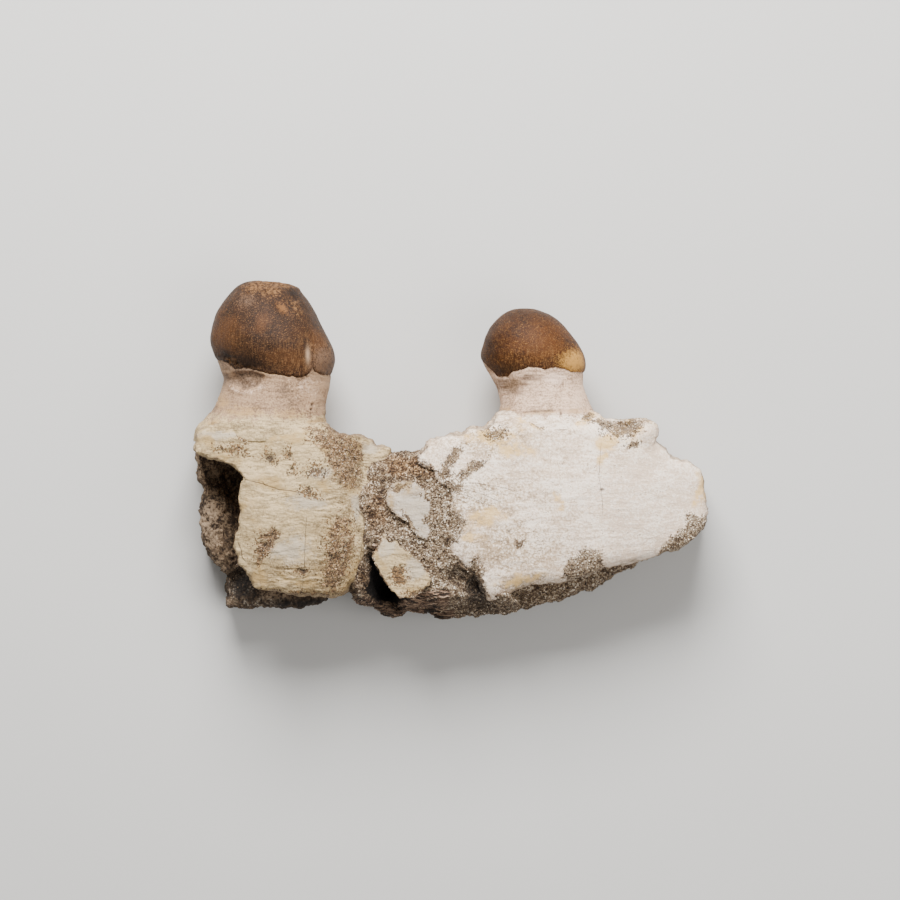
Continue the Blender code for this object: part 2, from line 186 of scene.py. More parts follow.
# %% [markdown]
# A broken edge is what the eye knows a fossil by. Each piece starts from an outline of a few dozen corners.
# Points are laid along it at even steps, and fractal noise frays it as a break through bone does, grain by
# grain. A Displace modifier could fray it too, but its numbers would be lost to the marks.

# %% Broken outlines
def along_outline(corners, count):
    """count points spaced evenly along a closed outline, averaged twice with their neighbours."""
    closed = np.vstack([corners, corners[:1]])
    reach = np.concatenate([[0], np.cumsum(np.linalg.norm(np.diff(closed, axis=0), axis=1))])
    at = np.arange(count) / count * reach[-1]
    points = np.column_stack([np.interp(at, reach, closed[:, axis]) for axis in (0, 1)])
    for _ in range(2):
        points = (np.roll(points, 1, axis=0) + 2 * points + np.roll(points, -1, axis=0)) / 4
    return points


def ragged(outline, amount, grain, seed):
    """The outline pushed out and in by fractal noise, as a fracture through grainy bone runs."""
    run = np.roll(outline, -1, axis=0) - np.roll(outline, 1, axis=0)
    outward = np.column_stack([run[:, 1], -run[:, 0]]) / np.linalg.norm(run, axis=1)[:, None]
    level = np.column_stack([outline, np.zeros(len(outline))])
    return outline + amount * rough_noise(level, grain, seed, 4, 0.6)[:, None] * outward


print("a unit square as 8 points:", along_outline([(0, 0), (1, 0), (1, 1), (0, 1)], 8).round(2).tolist())

# %% [markdown]
# The bones, chips and rocks are all rounded blocks: a nearly flat face and underside, and a steep wall.
# They could be sculpted, or cut from a cube, but as a function of two numbers they stay easy to change. The
# first number runs round the outline. The second runs from the middle of the underside, up the wall, to
# the middle of the face, along a superellipse, which is a box with soft corners. Each ring of points is
# the outline drawn in towards a bent line inside it, the spine. Were it only scaled down, the notches of
# the edge would run to the middle as creases.

# %% Blocks as a function of two numbers
def spine_points(outline, spine):
    """The point of the spine, a bent line inside the outline, that is nearest each outline point."""
    best, nearest = np.zeros_like(outline), np.full(len(outline), np.inf)
    for start, end in zip(np.array(spine[:-1]), np.array(spine[1:])):
        run = end - start
        share = np.clip((outline - start) @ run / (run @ run), 0, 1)
        point = start + share[:, None] * run
        distance = np.linalg.norm(outline - point, axis=1)
        best = np.where((distance < nearest)[:, None], point, best)
        nearest = np.minimum(nearest, distance)
    return best


def ring_steps(boxiness, counts):
    """How far out and how high each ring stands, from the underside's middle to the face's middle.

    On a superellipse the two are tied: out ** (2 / boxiness) + high ** (2 / boxiness) = 1. counts are the
    rings of the underside, the wall and the face.
    """
    def tied(value):
        """The other one of the two, from that formula."""
        return (1 - value ** (2 / boxiness)) ** (boxiness / 2)

    corner, nearly_nought = 0.5 ** (boxiness / 2), 0.002
    wall_high = corner * np.sin(np.linspace(-np.pi / 2, np.pi / 2, counts[1]))
    face_out = np.linspace(corner, nearly_nought, counts[2] + 1)[1:]
    back_out = np.linspace(nearly_nought, corner, counts[0] + 1)[:-1]
    out = np.concatenate([back_out, tied(np.abs(wall_high)), face_out])
    return out, np.concatenate([-tied(back_out), wall_high, tied(face_out)])


def rounded(outline, reach):
    """The outline averaged over a stretch of reach points to each side, with cosine weights."""
    weights = 1 + np.cos(np.linspace(-np.pi, np.pi, 2 * reach + 1))
    steps = np.arange(-reach, reach + 1)
    total = sum(weight * np.roll(outline, step, axis=0) for weight, step in zip(weights, steps))
    return total / weights.sum()


def block(outline, spine, underside, face, boxiness, counts):
    """Points of a rounded block on a grid: rings by places along the outline.

    A ring is the outline drawn in towards the spine, and stands part of the way from the middle height
    to the face or the underside. Inner rings lose the outline's notches, and the spine itself shrinks to
    its middle by 1 - (1 - out) ** 2, so that no ring crosses another and the last is nearly a point.
    """
    middle = (np.array(spine[0]) + np.array(spine[-1])) / 2
    out, high = ring_steps(boxiness, counts)
    out = out[:, None, None]
    rings = []
    for edge in (outline, rounded(outline, len(outline) // 12)):
        core = spine_points(edge, spine)
        rings.append(middle + (1 - (1 - out) ** 2) * (core - middle) + out * (edge - core))
    level = rings[0] + ease(out, 0.97, 0.60) * (rings[1] - rings[0])
    x, y = level[..., 0], level[..., 1]
    low, top = underside(x, y), face(x, y)
    return np.dstack([x, y, (low + top) / 2 + high[:, None] * (top - low) / 2])


def grid_normals(points):
    """Unit normals of a grid of rings: the cross product of the steps round a ring and between rings."""
    around = np.roll(points, -1, axis=1) - np.roll(points, 1, axis=1)
    between = np.gradient(points, axis=0)
    normal = np.cross(around, between)
    length = np.linalg.norm(normal, axis=-1, keepdims=True)
    normal = np.where(length < 1e-9, (0, 0, 1), normal / np.maximum(length, 1e-9))
    middle = points.reshape(-1, 3).mean(axis=0)
    outward = np.sum(normal * (points - middle)) > 0
    return normal if outward else -normal


print("how far out and how high rings stand:", *(steps.round(2) for steps in ring_steps(0.3, (2, 3, 2))))

# %% [markdown]
# A grid of rings becomes one closed mesh: four-sided faces between the rings, and a fan of triangles to a
# single point in the middle of the first and the last ring. Numbers that describe the surface, such as how
# stained a point is, go into the mesh as named attributes, which the finishes read.

# %% Grids to meshes
def add_mark(mesh, label, values):
    """Gives a mesh a named number for each of its points."""
    layer = mesh.attributes.new(label, "FLOAT", "POINT")
    layer.data.foreach_set("value", values.astype(np.float32))


def closed_mesh(name, points, marks):
    """A closed mesh from rings of points in millimetres, with named numbers for each point.

    If its volume, a sum of triple products over the faces, comes out negative, the faces are turned round.
    """
    rings, sides = points.shape[:2]
    ends = np.stack([points[0].mean(axis=0), points[-1].mean(axis=0)])
    places = np.vstack([points.reshape(-1, 3), ends]) * MM
    ring, side = np.meshgrid(np.arange(rings - 1), np.arange(sides), indexing="ij")
    after = (side + 1) % sides
    quads = np.stack([ring * sides + side, ring * sides + after,
                      (ring + 1) * sides + after, (ring + 1) * sides + side], axis=-1).reshape(-1, 4)
    turn, top = np.arange(sides), (rings - 1) * sides
    low_fan = np.column_stack([np.full(sides, rings * sides), (turn + 1) % sides, turn])
    high_fan = np.column_stack([top + turn, top + (turn + 1) % sides, np.full(sides, rings * sides + 1)])
    fans = np.vstack([low_fan, high_fan])
    volume = np.einsum("ij,ij->", places[quads[:, 0]], np.cross(places[quads[:, 1]], places[quads[:, 2]]))
    if volume < 0:
        quads, fans = quads[:, ::-1], fans[:, ::-1]
    mesh = bpy.data.meshes.new(name)
    mesh.from_pydata(places, [], quads.tolist() + fans.tolist())
    mesh.shade_smooth()
    for label, values in marks.items():
        add_mark(mesh, label, np.concatenate([values.ravel(), [values[0].mean(), values[-1].mean()]]))
    return mesh


def add_piece(name, mesh, finish, node, slot):
    """Puts a mesh in the scene as a piece that rides with the jaw and stands for one of its solids."""
    piece = bpy.data.objects.new(name, mesh)
    bpy.context.scene.collection.objects.link(piece)
    mesh.materials.append(finish)
    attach(piece, "root")
    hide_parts(node)
    corners = np.array([corner[:] for corner in piece.bound_box]) / MM
    low, high = corners.min(axis=0).round(1), corners.max(axis=0).round(1)
    print(f"{name}: {len(mesh.polygons)} faces, from {low} to {high} mm")


# %% [markdown]
# A finish is a small tree of shader nodes. A short helper makes a node, sets its values and plugs its
# inputs in one line, so that each finish below reads as a recipe: coats of colour, one over the other, and
# then layers of fine relief. All patterns are read at the Object coordinates of the piece, in metres, so a
# pattern that repeats every half millimetre has a scale of 2000.

# %% Helpers for finishes
class Recipe:
    """One material, built node by node. Its colour and its relief grow with each call of coat and emboss."""

    def __init__(self, name, roughness):
        self.material = bpy.data.materials.new(name)
        self.material.use_nodes = True
        self.tree = self.material.node_tree
        self.shader = self.tree.nodes["Principled BSDF"].inputs
        self.shader["Roughness"].default_value = roughness
        self.place = self.node("TexCoord").outputs["Object"]
        self.colour = self.normal = None

    def plug(self, value, socket):
        """Links another node's output to a socket, or sets the socket to a plain value."""
        if isinstance(value, bpy.types.NodeSocket):
            self.tree.links.new(value, socket)
        else:
            socket.default_value = value

    def node(self, kind, settings=None, **inputs):
        """A node of that kind. Underscores in an input's name stand for spaces, and n6 is input number 6."""
        made = self.tree.nodes.new("ShaderNode" + kind)
        for key, value in (settings or {}).items():
            setattr(made, key, value)
        for key, value in inputs.items():
            by_number = key[0] == "n" and key[1:].isdigit()
            self.plug(value, made.inputs[int(key[1:]) if by_number else key.replace("_", " ")])
        return made

    def mark(self, name):
        """A named number of the mesh."""
        return self.node("Attribute", {"attribute_name": name}).outputs["Fac"]

    def noise(self, scale, detail=3, roughness=0.55, distortion=0, vector=None):
        """Cloudy noise from 0 to 1, mostly near 0.5."""
        return self.node("TexNoise", Vector=vector or self.place, Scale=scale, Detail=detail,
                         Roughness=roughness, Distortion=distortion).outputs["Fac"]

    def streaks(self, scale, detail, roughness, drift=(0.0006, 0.0030, 0.0006)):
        """Noise on coordinates that a soft noise pushes by drift, and that are then multiplied by scale."""
        push = self.node("TexNoise", Vector=self.place, Scale=170, Detail=2).outputs["Color"]
        bent = self.node("VectorMath", {"operation": "MULTIPLY_ADD"}, n0=push, n1=drift, n2=self.place)
        scaled = self.node("Mapping", Vector=bent.outputs["Vector"], Scale=scale)
        return self.noise(1, detail, roughness, 0, scaled.outputs["Vector"])

    def cells(self, scale, feature="F1"):
        """The distance from the nearest of many scattered points."""
        made = self.node("TexVoronoi", {"feature": feature}, Vector=self.place, Scale=scale)
        return made.outputs["Distance"]

    def math(self, operation, a, b=0):
        """One step of arithmetic on a and b."""
        return self.node("Math", {"operation": operation}, n0=a, n1=b).outputs[0]

    def times(self, total, *factors):
        """The product of values."""
        for factor in factors:
            total = self.math("MULTIPLY", total, factor)
        return total

    def sum(self, *terms):
        """The sum of values. A pair is a weight and a value."""
        total = None
        for term in terms:
            if isinstance(term, tuple):
                weight, value = term
                plain = not isinstance(value, bpy.types.NodeSocket)
                term = weight * value if plain else self.times(value, weight)
            total = term if total is None else self.math("ADD", total, term)
        return total

    def rise(self, value, low, high):
        """0 below low, 1 above high, with an S-curve between them."""
        return self.node("MapRange", {"interpolation_type": "SMOOTHSTEP"}, Value=value, From_Min=low,
                         From_Max=high).outputs["Result"]

    def patch(self, name, *noises, low=0.25, high=0.95):
        """The mesh's mark of that name plus weighted noises, cut off from low to high: a ragged patch."""
        return self.rise(self.sum(self.mark(name), *noises), low, high)

    def mix(self, share, first, second, blend="MIX"):
        """Two colours blended by share."""
        return self.node("Mix", {"data_type": "RGBA", "blend_type": blend}, n0=share, n6=first,
                         n7=second).outputs[2]

    def ramp(self, value, *stops):
        """A colour for each value, from stops of place and colour."""
        made = self.node("ValToRGB", Fac=value)
        while len(made.color_ramp.elements) < len(stops):
            made.color_ramp.elements.new(0.5)
        for element, (place, colour) in zip(made.color_ramp.elements, stops):
            element.position, element.color = place, colour
        return made.outputs["Color"]

    def coat(self, mask, colour, strength=1, blend="MIX"):
        """Covers the colour so far with another one, by mask times strength."""
        share = mask if strength == 1 else self.times(mask, strength)
        self.colour = self.mix(share, self.colour, colour, blend)

    def emboss(self, height, distance, strength):
        """A fine relief over the relief so far: height from 0 to 1 stands for distance millimetres."""
        made = self.node("Bump", Height=height, Distance=distance * MM, Strength=strength)
        if self.normal is not None:
            self.plug(self.normal, made.inputs["Normal"])
        self.normal = made.outputs["Normal"]

    def finish(self, roughness=None):
        """Plugs what was built into the shader."""
        self.plug(self.colour, self.shader["Base Color"])
        self.plug(self.normal, self.shader["Normal"])
        if roughness is not None:
            self.plug(roughness, self.shader["Roughness"])
        return self.material


def tone(red, green, blue):
    """A colour as a shader takes it: a paint chart's values, divided by 255 and raised to the power 2.2."""
    return (*[(channel / 255) ** 2.2 for channel in (red, green, blue)], 1)


print("finishes are made from recipes")

# %% [markdown]
# These height functions repeat those of the solid model, so the fine surfaces lie where the solids do. The
# outer face of each bone is a gentle dome. The inner side is nearly flat, because the jaw rests on it.

# %% Heights of the faces
def left_outer(x, y):
    """A dome of 46 mm that falls with the squares of the distances from its top.

    It dips at the right, and under the large tooth's root, which grows out of it there.
    """
    dome = 46 - 3.5 * ((x + 52) / 36) ** 2 - 4 * ((y + 18) / 32) ** 2
    seat = 5 * ease(y, 3, 12) * ease(x, -80, -66) * (1 - ease(x, -45, -39))
    dip = 2.5 * spot(x, y, -30, -6, 7, 9) + 3 * ease(x, -38, -28)
    return dome - dip - seat


def left_plate_back(x, y):
    """Solid to 14 mm above the floor, but only a plate about 10 mm thick over the broken left end."""
    return 14 + 21 * (1 - ease(x, -68, -58)) * (1 - ease(y, -5, 0))


def left_wall_face(x, y):
    """A ridge at 22 mm, raised along its left edge, less a canal behind the plate and a crevice below it."""
    ridge = 22 + 3 * spot(x, y, -84, -24, 5, 14)
    canal = 10 * spot(x, y, -77, -9, 8, 6.5) + 6 * spot(x, y, -73, -26, 4.5, 18)
    return ridge - canal - 7 * spot(x, y, -74.5, -45, 5, 5)


def right_outer(x, y):
    """A dome of 44.5 mm that thins to its right end, less a seat and a hollow at the small tooth."""
    dome = 44.5 - 8 * (np.maximum(x - 22, 0) / 68) ** 2 - 5 * ((y + 14) / 35) ** 2
    hollow = 7 * spot(x, y, 59.5, 8.6, 5, 2.6)
    knob = 2.5 * spot(x, y, 68.8, 6.5, 3.4, 4.2)
    seat = 6 * ease(y, 6.5, 14) * ease(x, 10, 19) * (1 - ease(x, 51, 57))
    return dome - hollow + knob - seat - 2.5 * (1 - ease(x, -12, 4))


def hollow(x, y):
    """1 in the dark hollow beside the right bone's lower left corner, falling to 0 round it."""
    return np.maximum(spot(x, y, 9.8, -49.3, 4.2, 6.2, 24), 0.55 * spot(x, y, 4.5, -45.5, 6, 4, -40))


def rock_face(x, y):
    """Rock nearly level with the bones, less a deep gap, a hollow and the sunken lower edge."""
    rock = 41.5 + 1.6 * ease(x, -14, 0) - 2.5 * ((y + 24) / 26) ** 2
    gap = 27 * spot(x, y, -22.5, -50, 4.5, 5.5, 35) + 14 * spot(x, y, -25.8, -42.5, 1.8, 5.5, 22)
    return rock - gap - 7 * hollow(x, y) - 12 * ease(-y, 50, 57)


def ledge_face(x, y):
    """A slope from 29 mm that falls towards the ledge's own lower edge and its right end."""
    return 29 + 0.4 * (y + 46 - 0.11 * (x - 20)) - 0.12 * np.maximum(x - 30, 0)


def underside(x, y):
    """Just below the floor in the middle, rising with the square of the distance to the edges."""
    return -1.6 + 4.5 * ((y + 22) / 34) ** 2 + 3 * np.maximum(np.abs(x) - 70, 0) / 20


print("left dome at its top, mm:", left_outer(np.array([-52]), np.array([-18])).round(1))

# %% [markdown]
# Each bone keeps the outline that the camera sees, down to the small notches of the break. A place on the
# high outer face is seen a little further out than it is, so the marks ask where a point is seen before
# they ask which stain or crack it is in.

# %% Where a point is seen
def seen(points):
    """x and y of points as the camera sees them on the middle plane, the opposite of drawn_in."""
    scale = CAMERA_DISTANCE / (CAMERA_DISTANCE - (points[..., 2] - MIDDLE_PLANE))
    return points[..., 0] * scale, points[..., 1] * scale


def wandering(points):
    """Seen places that wander by some millimetres down the sides, so that no stain runs straight down."""
    x, y = seen(points)
    drift = 5 * (1 - ease(points[..., 2], 22, 36))
    return x + drift * rough_noise(points, 9, 55, 3), y + drift * rough_noise(points, 9, 57, 3)


def stains(points, x, y, seed, kinds):
    """Ovals of each kind of stain. x and y are stirred by a millimetre or two of noise, so none is neat."""
    stain_x = x + 1.3 * rough_noise(points, 4, seed, 4, 0.6)
    stain_y = y + 1.3 * rough_noise(points, 4, seed + 9, 4, 0.6)
    return {kind: spots(stain_x, stain_y, ovals) for kind, ovals in kinds.items()}


def outer_skin(points):
    """1 where a bone's surface faces up, as its smooth outer face does, and 0 on its broken sides."""
    return ease(grid_normals(points)[..., 2], 0.3, 0.8)


print("80 mm aside on an outer face is seen at", seen(np.array([80, 0, 45]))[0].round(2), "mm")

# %% [markdown]
# Relief is a height for each point, in millimetres, and moves the point along the surface's own normal.
# Moving it straight up would do for the face but not for the walls. Waves, fibres, pits and pebbles are
# simply summed before the points move, so no layer has to know of another.

# %% Relief and cracks
def carved(points, seed):
    """Hollows of up to 1.6 mm, as a relief, low on the sides, where they don't touch the outline seen."""
    side = 1 - ease(np.abs(grid_normals(points)[..., 2]), 0.4, 0.8)
    low = ease(points[..., 2], 1, 5) * (1 - ease(points[..., 2], 16, 24))
    return -1.6 * side * low * ease(rough_noise(points, 7, seed, 3), -0.5, 0.9)


def gritty_dark(points, seed):
    """How much painted shade a hollow's floor gets from point to point: 0.4 on its lumps, 1 between them."""
    return 0.4 + 0.6 * ease(rough_noise(points, 1.3, seed), -0.6, 0.4)


def pushed(points, height):
    """Points moved along the grid's normals by height millimetres, but never below the floor."""
    moved = points + height[..., None] * grid_normals(points)
    moved[..., 2] = np.maximum(moved[..., 2], 0)
    return moved


def rested(points, seed):
    """Clears the underside: floor points are lifted by up to half a millimetre of rough noise."""
    flat = 1 - ease(points[..., 2], 0, 0.8)
    level = points * np.array([1, 1, 0])
    lift = np.clip(0.35 + 0.4 * rough_noise(level, 5, seed), 0, 0.8)
    return points + (flat * lift)[..., None] * np.array([0, 0, 1])


def fibres(points, length, width, seed):
    """Long thin ridges along X: fractal noise on coordinates divided by length along X and width across."""
    bent = points + 0.8 * smooth_noise(points, 9, seed + 7)[..., None]
    return rough_noise(bent / np.array([length, width, width]), 1, seed, 3, 0.6)


def cracks(x, y, lines):
    """For thin cracks: the signed distance to the nearest one, and how wide it is open there.

    The distance is positive on the left of a crack and negative on the right, so that it passes through
    nought on the crack itself, between two points of the mesh. The width tapers to less than nought at
    both ends.
    """
    side, wide = np.full(x.shape, 9.0), np.full(x.shape, -1.0)
    nearest = np.full(x.shape, np.inf)
    for corners, opening in lines:
        corners = np.array(corners, float)
        runs = np.diff(corners, axis=0)
        lengths = np.linalg.norm(runs, axis=1)
        before = np.concatenate([[0], np.cumsum(lengths)])
        for start, run, length, past in zip(corners, runs, lengths, before):
            share = ((x - start[0]) * run[0] + (y - start[1]) * run[1]) / length ** 2
            held = np.clip(share, 0, 1)
            distance = np.hypot(x - start[0] - held * run[0], y - start[1] - held * run[1])
            cross = (run[0] * (y - start[1]) - run[1] * (x - start[0])) / length
            along = (past + share * length) / before[-1]
            closer = distance < nearest
            side = np.where(closer, np.where(cross < 0, -distance, distance), side)
            taper = 4 * along * (1 - along)
            wide = np.where(closer, opening * np.minimum(taper, 0.6) / 0.6, wide)
            nearest = np.where(closer, distance, nearest)
    return side, np.where(nearest < 3, wide, -1)


print("height of fibres, spread:", fibres(test_points, 5, 1, 1).std().round(2))

# %% [markdown]
# The outer plate of the left bone is the warm ivory piece under the large tooth. Its left edge is broken and
# hangs over a dark hollow. It could be one solid with the wall behind it, but as two blocks that grow into
# each other the overhang costs nothing. Low ridges run along the bone, as the fibres of a jaw do.

# %% The left bone's outer plate: shape
LEFT_PLATE = [
    (-88.9, 6.4), (-86.5, 8.4), (-78.8, 9.8), (-65.8, 10.5), (-52.5, 10.2), (-43.8, 8.8), (-39.1, 5.2),
    (-34.9, 5.3), (-32.1, 5.3), (-30, 4.6), (-27.9, 3.2), (-25.8, 1.4), (-22.9, 1.4), (-21.5, 0.7),
    (-20.8, -0.7), (-22.4, -3.5), (-21.4, -6.3), (-22.4, -8.7), (-25, -10.6), (-27.4, -13.6),
    (-30.3, -16.5), (-30.7, -19.3), (-30, -21.1), (-29.3, -23.9), (-28.9, -27.1), (-28.6, -29.9),
    (-28.6, -32.7), (-29.3, -36.2), (-30, -39), (-31, -41.5), (-32.1, -44), (-33.1, -45.7), (-34.2, -47.5),
    (-35.6, -49.6), (-37.4, -51.3), (-41.9, -51.9), (-47.2, -51.3), (-52.5, -51.2), (-56.7, -50.3),
    (-60.2, -49.2), (-63.7, -49.2), (-67.9, -48.5), (-69.4, -47.1), (-70.1, -45), (-71.8, -42.5),
    (-73.6, -40.8), (-74.3, -38.7), (-75, -35.9), (-75.7, -33.4), (-75, -30.9), (-73.9, -28.1),
    (-73.2, -25.3), (-73, -21.1), (-73.6, -17.6), (-73.6, -14.1), (-72.5, -11.6), (-71.1, -10.4),
    (-72.5, -8.4), (-74.3, -6.7), (-77.1, -5.1), (-79.9, -4.2), (-82.4, -3.3), (-85.2, -2.5), (-87.6, -1.4),
    (-90, -0.6), (-90.1, 0.4), (-88.9, 2.8), (-89.3, 4.9),
]
LEFT_SAND = [
    [(-51, 8), (-41.5, 7.6), (-34.9, 4.9), (-32.1, 1.8), (-30.7, -1.8), (-31.4, -5.3), (-31.5, -13.5),
     (-36, -13.5), (-40.5, -10), (-42, -5.3), (-43.5, 0), (-48, 4)],
    [(-38.4, -22.9), (-34.9, -24.6), (-34.2, -31.6), (-35.6, -38.7), (-36.7, -45.7), (-40.2, -49.2),
     (-43.3, -47.5), (-43.7, -42.2), (-41.9, -36.9), (-42.6, -31.6), (-40.9, -26.4)],
    [(-65.8, -29.9), (-62.3, -27.4), (-59.5, -28.8), (-60.9, -33.4), (-63.7, -35.9), (-65.8, -38.7),
     (-67.6, -40.4), (-67.9, -35.9)],
]
LEFT_CRACKS = [
    ([(-72, -10.4), (-66, -11.8), (-60, -13.9), (-55.3, -14.4), (-51, -15.6)], 0.16),
    ([(-50, -21.8), (-50.6, -30), (-50.9, -40), (-51.8, -49.2)], 0.09),
    ([(-74.6, -32), (-73.2, -35), (-72.9, -37.6), (-71.6, -39.6)], 0.22),
    ([(-33, -20), (-30.2, -23.5), (-29.6, -28), (-30.6, -32)], 0.3),
]
LEFT_PITS = [(-62.7, -2.8, 1.6, 1.4), (-56, -2, 0.6, 0.6), (-55.3, -6.5, 0.7, 0.6),
             (-64.8, -33.4, 1.2, 0.9, 20), (-51.4, -42.5, 2.2, 0.9, -15)]
FACE_HEIGHT = 40              # of the outer faces, near their edges


def deepest(x, y, patches):
    """How far inside the nearest of several patches, or how far outside all of them, as minus millimetres."""
    return np.max([patch_depth(x, y, patch) for patch in patches], axis=0)


def bone_relief(points, skin, sand, seeds, waves, threads, grains):
    """Waves, fibres on the skin, roughness on the broken sides, and pebbles in the sand patches.

    waves are height and grain, threads are height, length and width, and grains are height and base. Also
    gives how sandy each point is.
    """
    relief = waves[0] * rough_noise(points, waves[1], seeds[0], 3)
    relief += threads[0] * fibres(points, threads[1], threads[2], seeds[1]) * skin
    relief += 0.5 * rough_noise(points, 3, seeds[2], 4, 0.6) * (1 - skin)
    sandy = ease(sand + 0.8 * rough_noise(points, 2, seeds[3]), -0.6, 0.6)
    return relief + sandy * skin * (grains[0] * pebbles(points, 1, seeds[4]) + grains[1]), sandy


plate_outline = along_outline(drawn_in(LEFT_PLATE, FACE_HEIGHT), 540)
plate_outline = ragged(plate_outline, amount=0.25, grain=1.8, seed=21)
plate = block(plate_outline, ((-66, -2), (-52, -30)), left_plate_back, left_outer, boxiness=0.16,
              counts=(14, 30, 118))
x, y = wandering(plate)
plate_sand, plate_skin = deepest(x, y, LEFT_SAND), outer_skin(plate)
relief, sandy = bone_relief(plate, plate_skin, plate_sand, seeds=(31, 35, 37, 39, 41), waves=(0.6, 11),
                            threads=(0.16, 5, 1), grains=(0.35, -0.2))
pits = spots(x, y, LEFT_PITS)
relief += 0.12 * rough_noise(plate, 1.6, 36, 2) * plate_skin + carved(plate, seed=45) - 0.7 * pits
plate = rested(pushed(plate, relief), seed=43)
print("left plate:", plate.shape, "relief from", relief.min().round(2), "to", relief.max().round(2), "mm")

# %% [markdown]
# Sand sticks to every bone here, so its colour comes first. One speckled noise would look like paint. Cell
# noise gives each grain a tone of its own and a dark joint round it, and lets a grain be there or not as a
# whole.

# %% The colour of sand
SAND_TONES = [(0, tone(34, 25, 19)), (0.25, tone(76, 58, 44)), (0.45, tone(118, 98, 76)),
              (0.68, tone(168, 146, 118)), (1, tone(250, 234, 212))]


def sand_colour(r, size):
    """Grains of random tone, size of them to the metre, with dark joints.

    Also gives the distance from the middle of a grain, and a second random number for each grain.
    """
    grain = r.node("TexVoronoi", {"feature": "F1"}, Vector=r.place, Scale=size).outputs
    drawn = r.node("SeparateColor", Color=grain["Color"]).outputs
    mottled = r.sum((0.60, drawn[0]), (1.4, r.noise(size * 0.25, 4, 0.6)), -0.48)
    joint = r.rise(grain["Distance"], 0.45, 0.85)
    return r.mix(joint, r.ramp(mottled, *SAND_TONES), tone(58, 44, 33)), grain["Distance"], drawn[1]


def sprinkled(r, mark, uneven, chance):
    """Covers whole grains one by one: a grain is there where the mark is higher than its random number."""
    cover = r.times(mark, r.sum((4, uneven), 1.3))
    return r.rise(r.sum(cover, (-1, chance)), 0.02, 0.20)


def ragged_noise(r, speck):
    """Noise about nought for the edges of stains: ragged at three millimetres and at one."""
    return r.sum((0.6, r.noise(420, 5, 0.7)), (0.4, speck), -0.5)


print("tones of sand:", len(SAND_TONES))

# %% [markdown]
# Fossil bone is matt and chalky. Its colour comes in layers: a cream ground with soft clouds, fine streaks
# that follow the fibres, ochre where iron has soaked in, grey grime in the hollows, dark pores and thin
# cracks, and sand that is still stuck on. Each layer is one coat below. The marks say where a layer is, and
# a fine noise is added to each mark before it is cut off, so that a stain has a ragged edge.

# %% The bone finish
CHALK = tone(180, 167, 149)
WHITE = tone(255, 255, 255)

def skin_colour(r, tones, aged, speck, fibre=0.30, length=1):
    """The colour of bone's outer face from four tones: light, ground, tan and deep. Also gives the fibres.

    fibre is how much the fibres count beside the clouds and specks, length how long they run.
    """
    light, ground, tan, deep = tones
    thread = r.streaks((240 / length, 2000, 900), 5, 0.68)
    broad = r.streaks((75 / length, 380, 300), 4, 0.60)
    value = r.sum((fibre, thread), (0.18, broad), (0.22, r.noise(75, 5, 0.6)), (0.60 - fibre, speck))
    colour = r.mix(r.rise(value, 0.565, 0.465), light, ground)
    stain = r.rise(r.sum(value, (-0.10, aged)), 0.47, 0.36)
    colour = r.mix(r.times(stain, r.sum((0.72, aged), 0.12)), colour, tan)
    dots = r.rise(r.sum((0.55, speck), (0.45, broad), (-0.06, aged)), 0.43, 0.34)
    return r.mix(r.times(dots, r.times(aged, 0.7)), colour, deep), thread


def bone_finish(name, tones, fibre, length, iron, stuck=0.95, tint=WHITE):
    """A bone material. The mark aged says how strongly it is stained. iron is the tone of its rust stains.

    Sand covers it by stuck, in tint.
    """
    r = Recipe(name, 0.85)
    aged = r.mark("aged")
    speck = r.noise(1300, 5, 0.72)
    uneven = ragged_noise(r, speck)
    sand, joints, chance = sand_colour(r, 2200)
    sand = r.mix(1, sand, tint, "MULTIPLY")
    r.colour, thread = skin_colour(r, tones, aged, speck, fibre, length)
    r.coat(r.patch("chalky", (3, uneven), high=0.90), CHALK, 0.65)
    patchy = r.sum((6, r.noise(190, 4, 0.6)), (4, uneven), -2.1)
    r.coat(r.rise(r.times(r.mark("ochre"), patchy), 0.15, 1.1), iron, 0.78)
    grime = sprinkled(r, r.mark("grime"), uneven, chance)
    r.coat(grime, r.mix(1, sand, tone(200, 184, 156), "MULTIPLY"), 0.88)
    pores = r.times(r.rise(r.cells(820), 0.20, 0.06), r.rise(r.noise(150), 0.50, 0.60))
    r.coat(pores, tones[3], 0.7)
    inside = r.sum((-1, r.mark("skin")), 1)
    broken = r.ramp(r.noise(700, 5, 0.7), (0.30, tone(70, 54, 41)), (0.5, tone(132, 108, 84)),
                    (0.7, tone(196, 172, 140)))
    r.coat(inside, broken, 0.8)
    spongy = r.times(r.rise(r.cells(1300), 0.42, 0.18), r.rise(r.noise(260), 0.42, 0.56), inside)
    r.coat(spongy, tones[3], 0.7)
    spread = r.times(uneven, r.sum((14, aged), 7))
    in_sand = r.patch("sand", spread, (-1.8, chance), 0.9, low=-0.3, high=0.3)
    r.coat(in_sand, sand, stuck)
    wander = r.sum((0.5, r.noise(900)), -0.25, r.mark("crack_side"))
    opened = r.rise(r.sum(r.mark("crack_wide"), (-1, r.math("ABSOLUTE", wander))), -0.05, 0.08)
    r.coat(opened, tone(74, 56, 42), 0.65)
    # dark: darker pits, and painted shade in the right bone's hollow
    r.coat(r.mark("dark"), tone(44, 34, 26))
    r.emboss(thread, 0.35, 0.6)
    r.emboss(speck, 0.40, 0.8)
    r.emboss(r.times(joints, r.math("MAXIMUM", in_sand, grime)), -0.35, 0.8)
    r.emboss(r.sum(opened, pores, spongy), -0.35, 0.8)
    return r.finish()


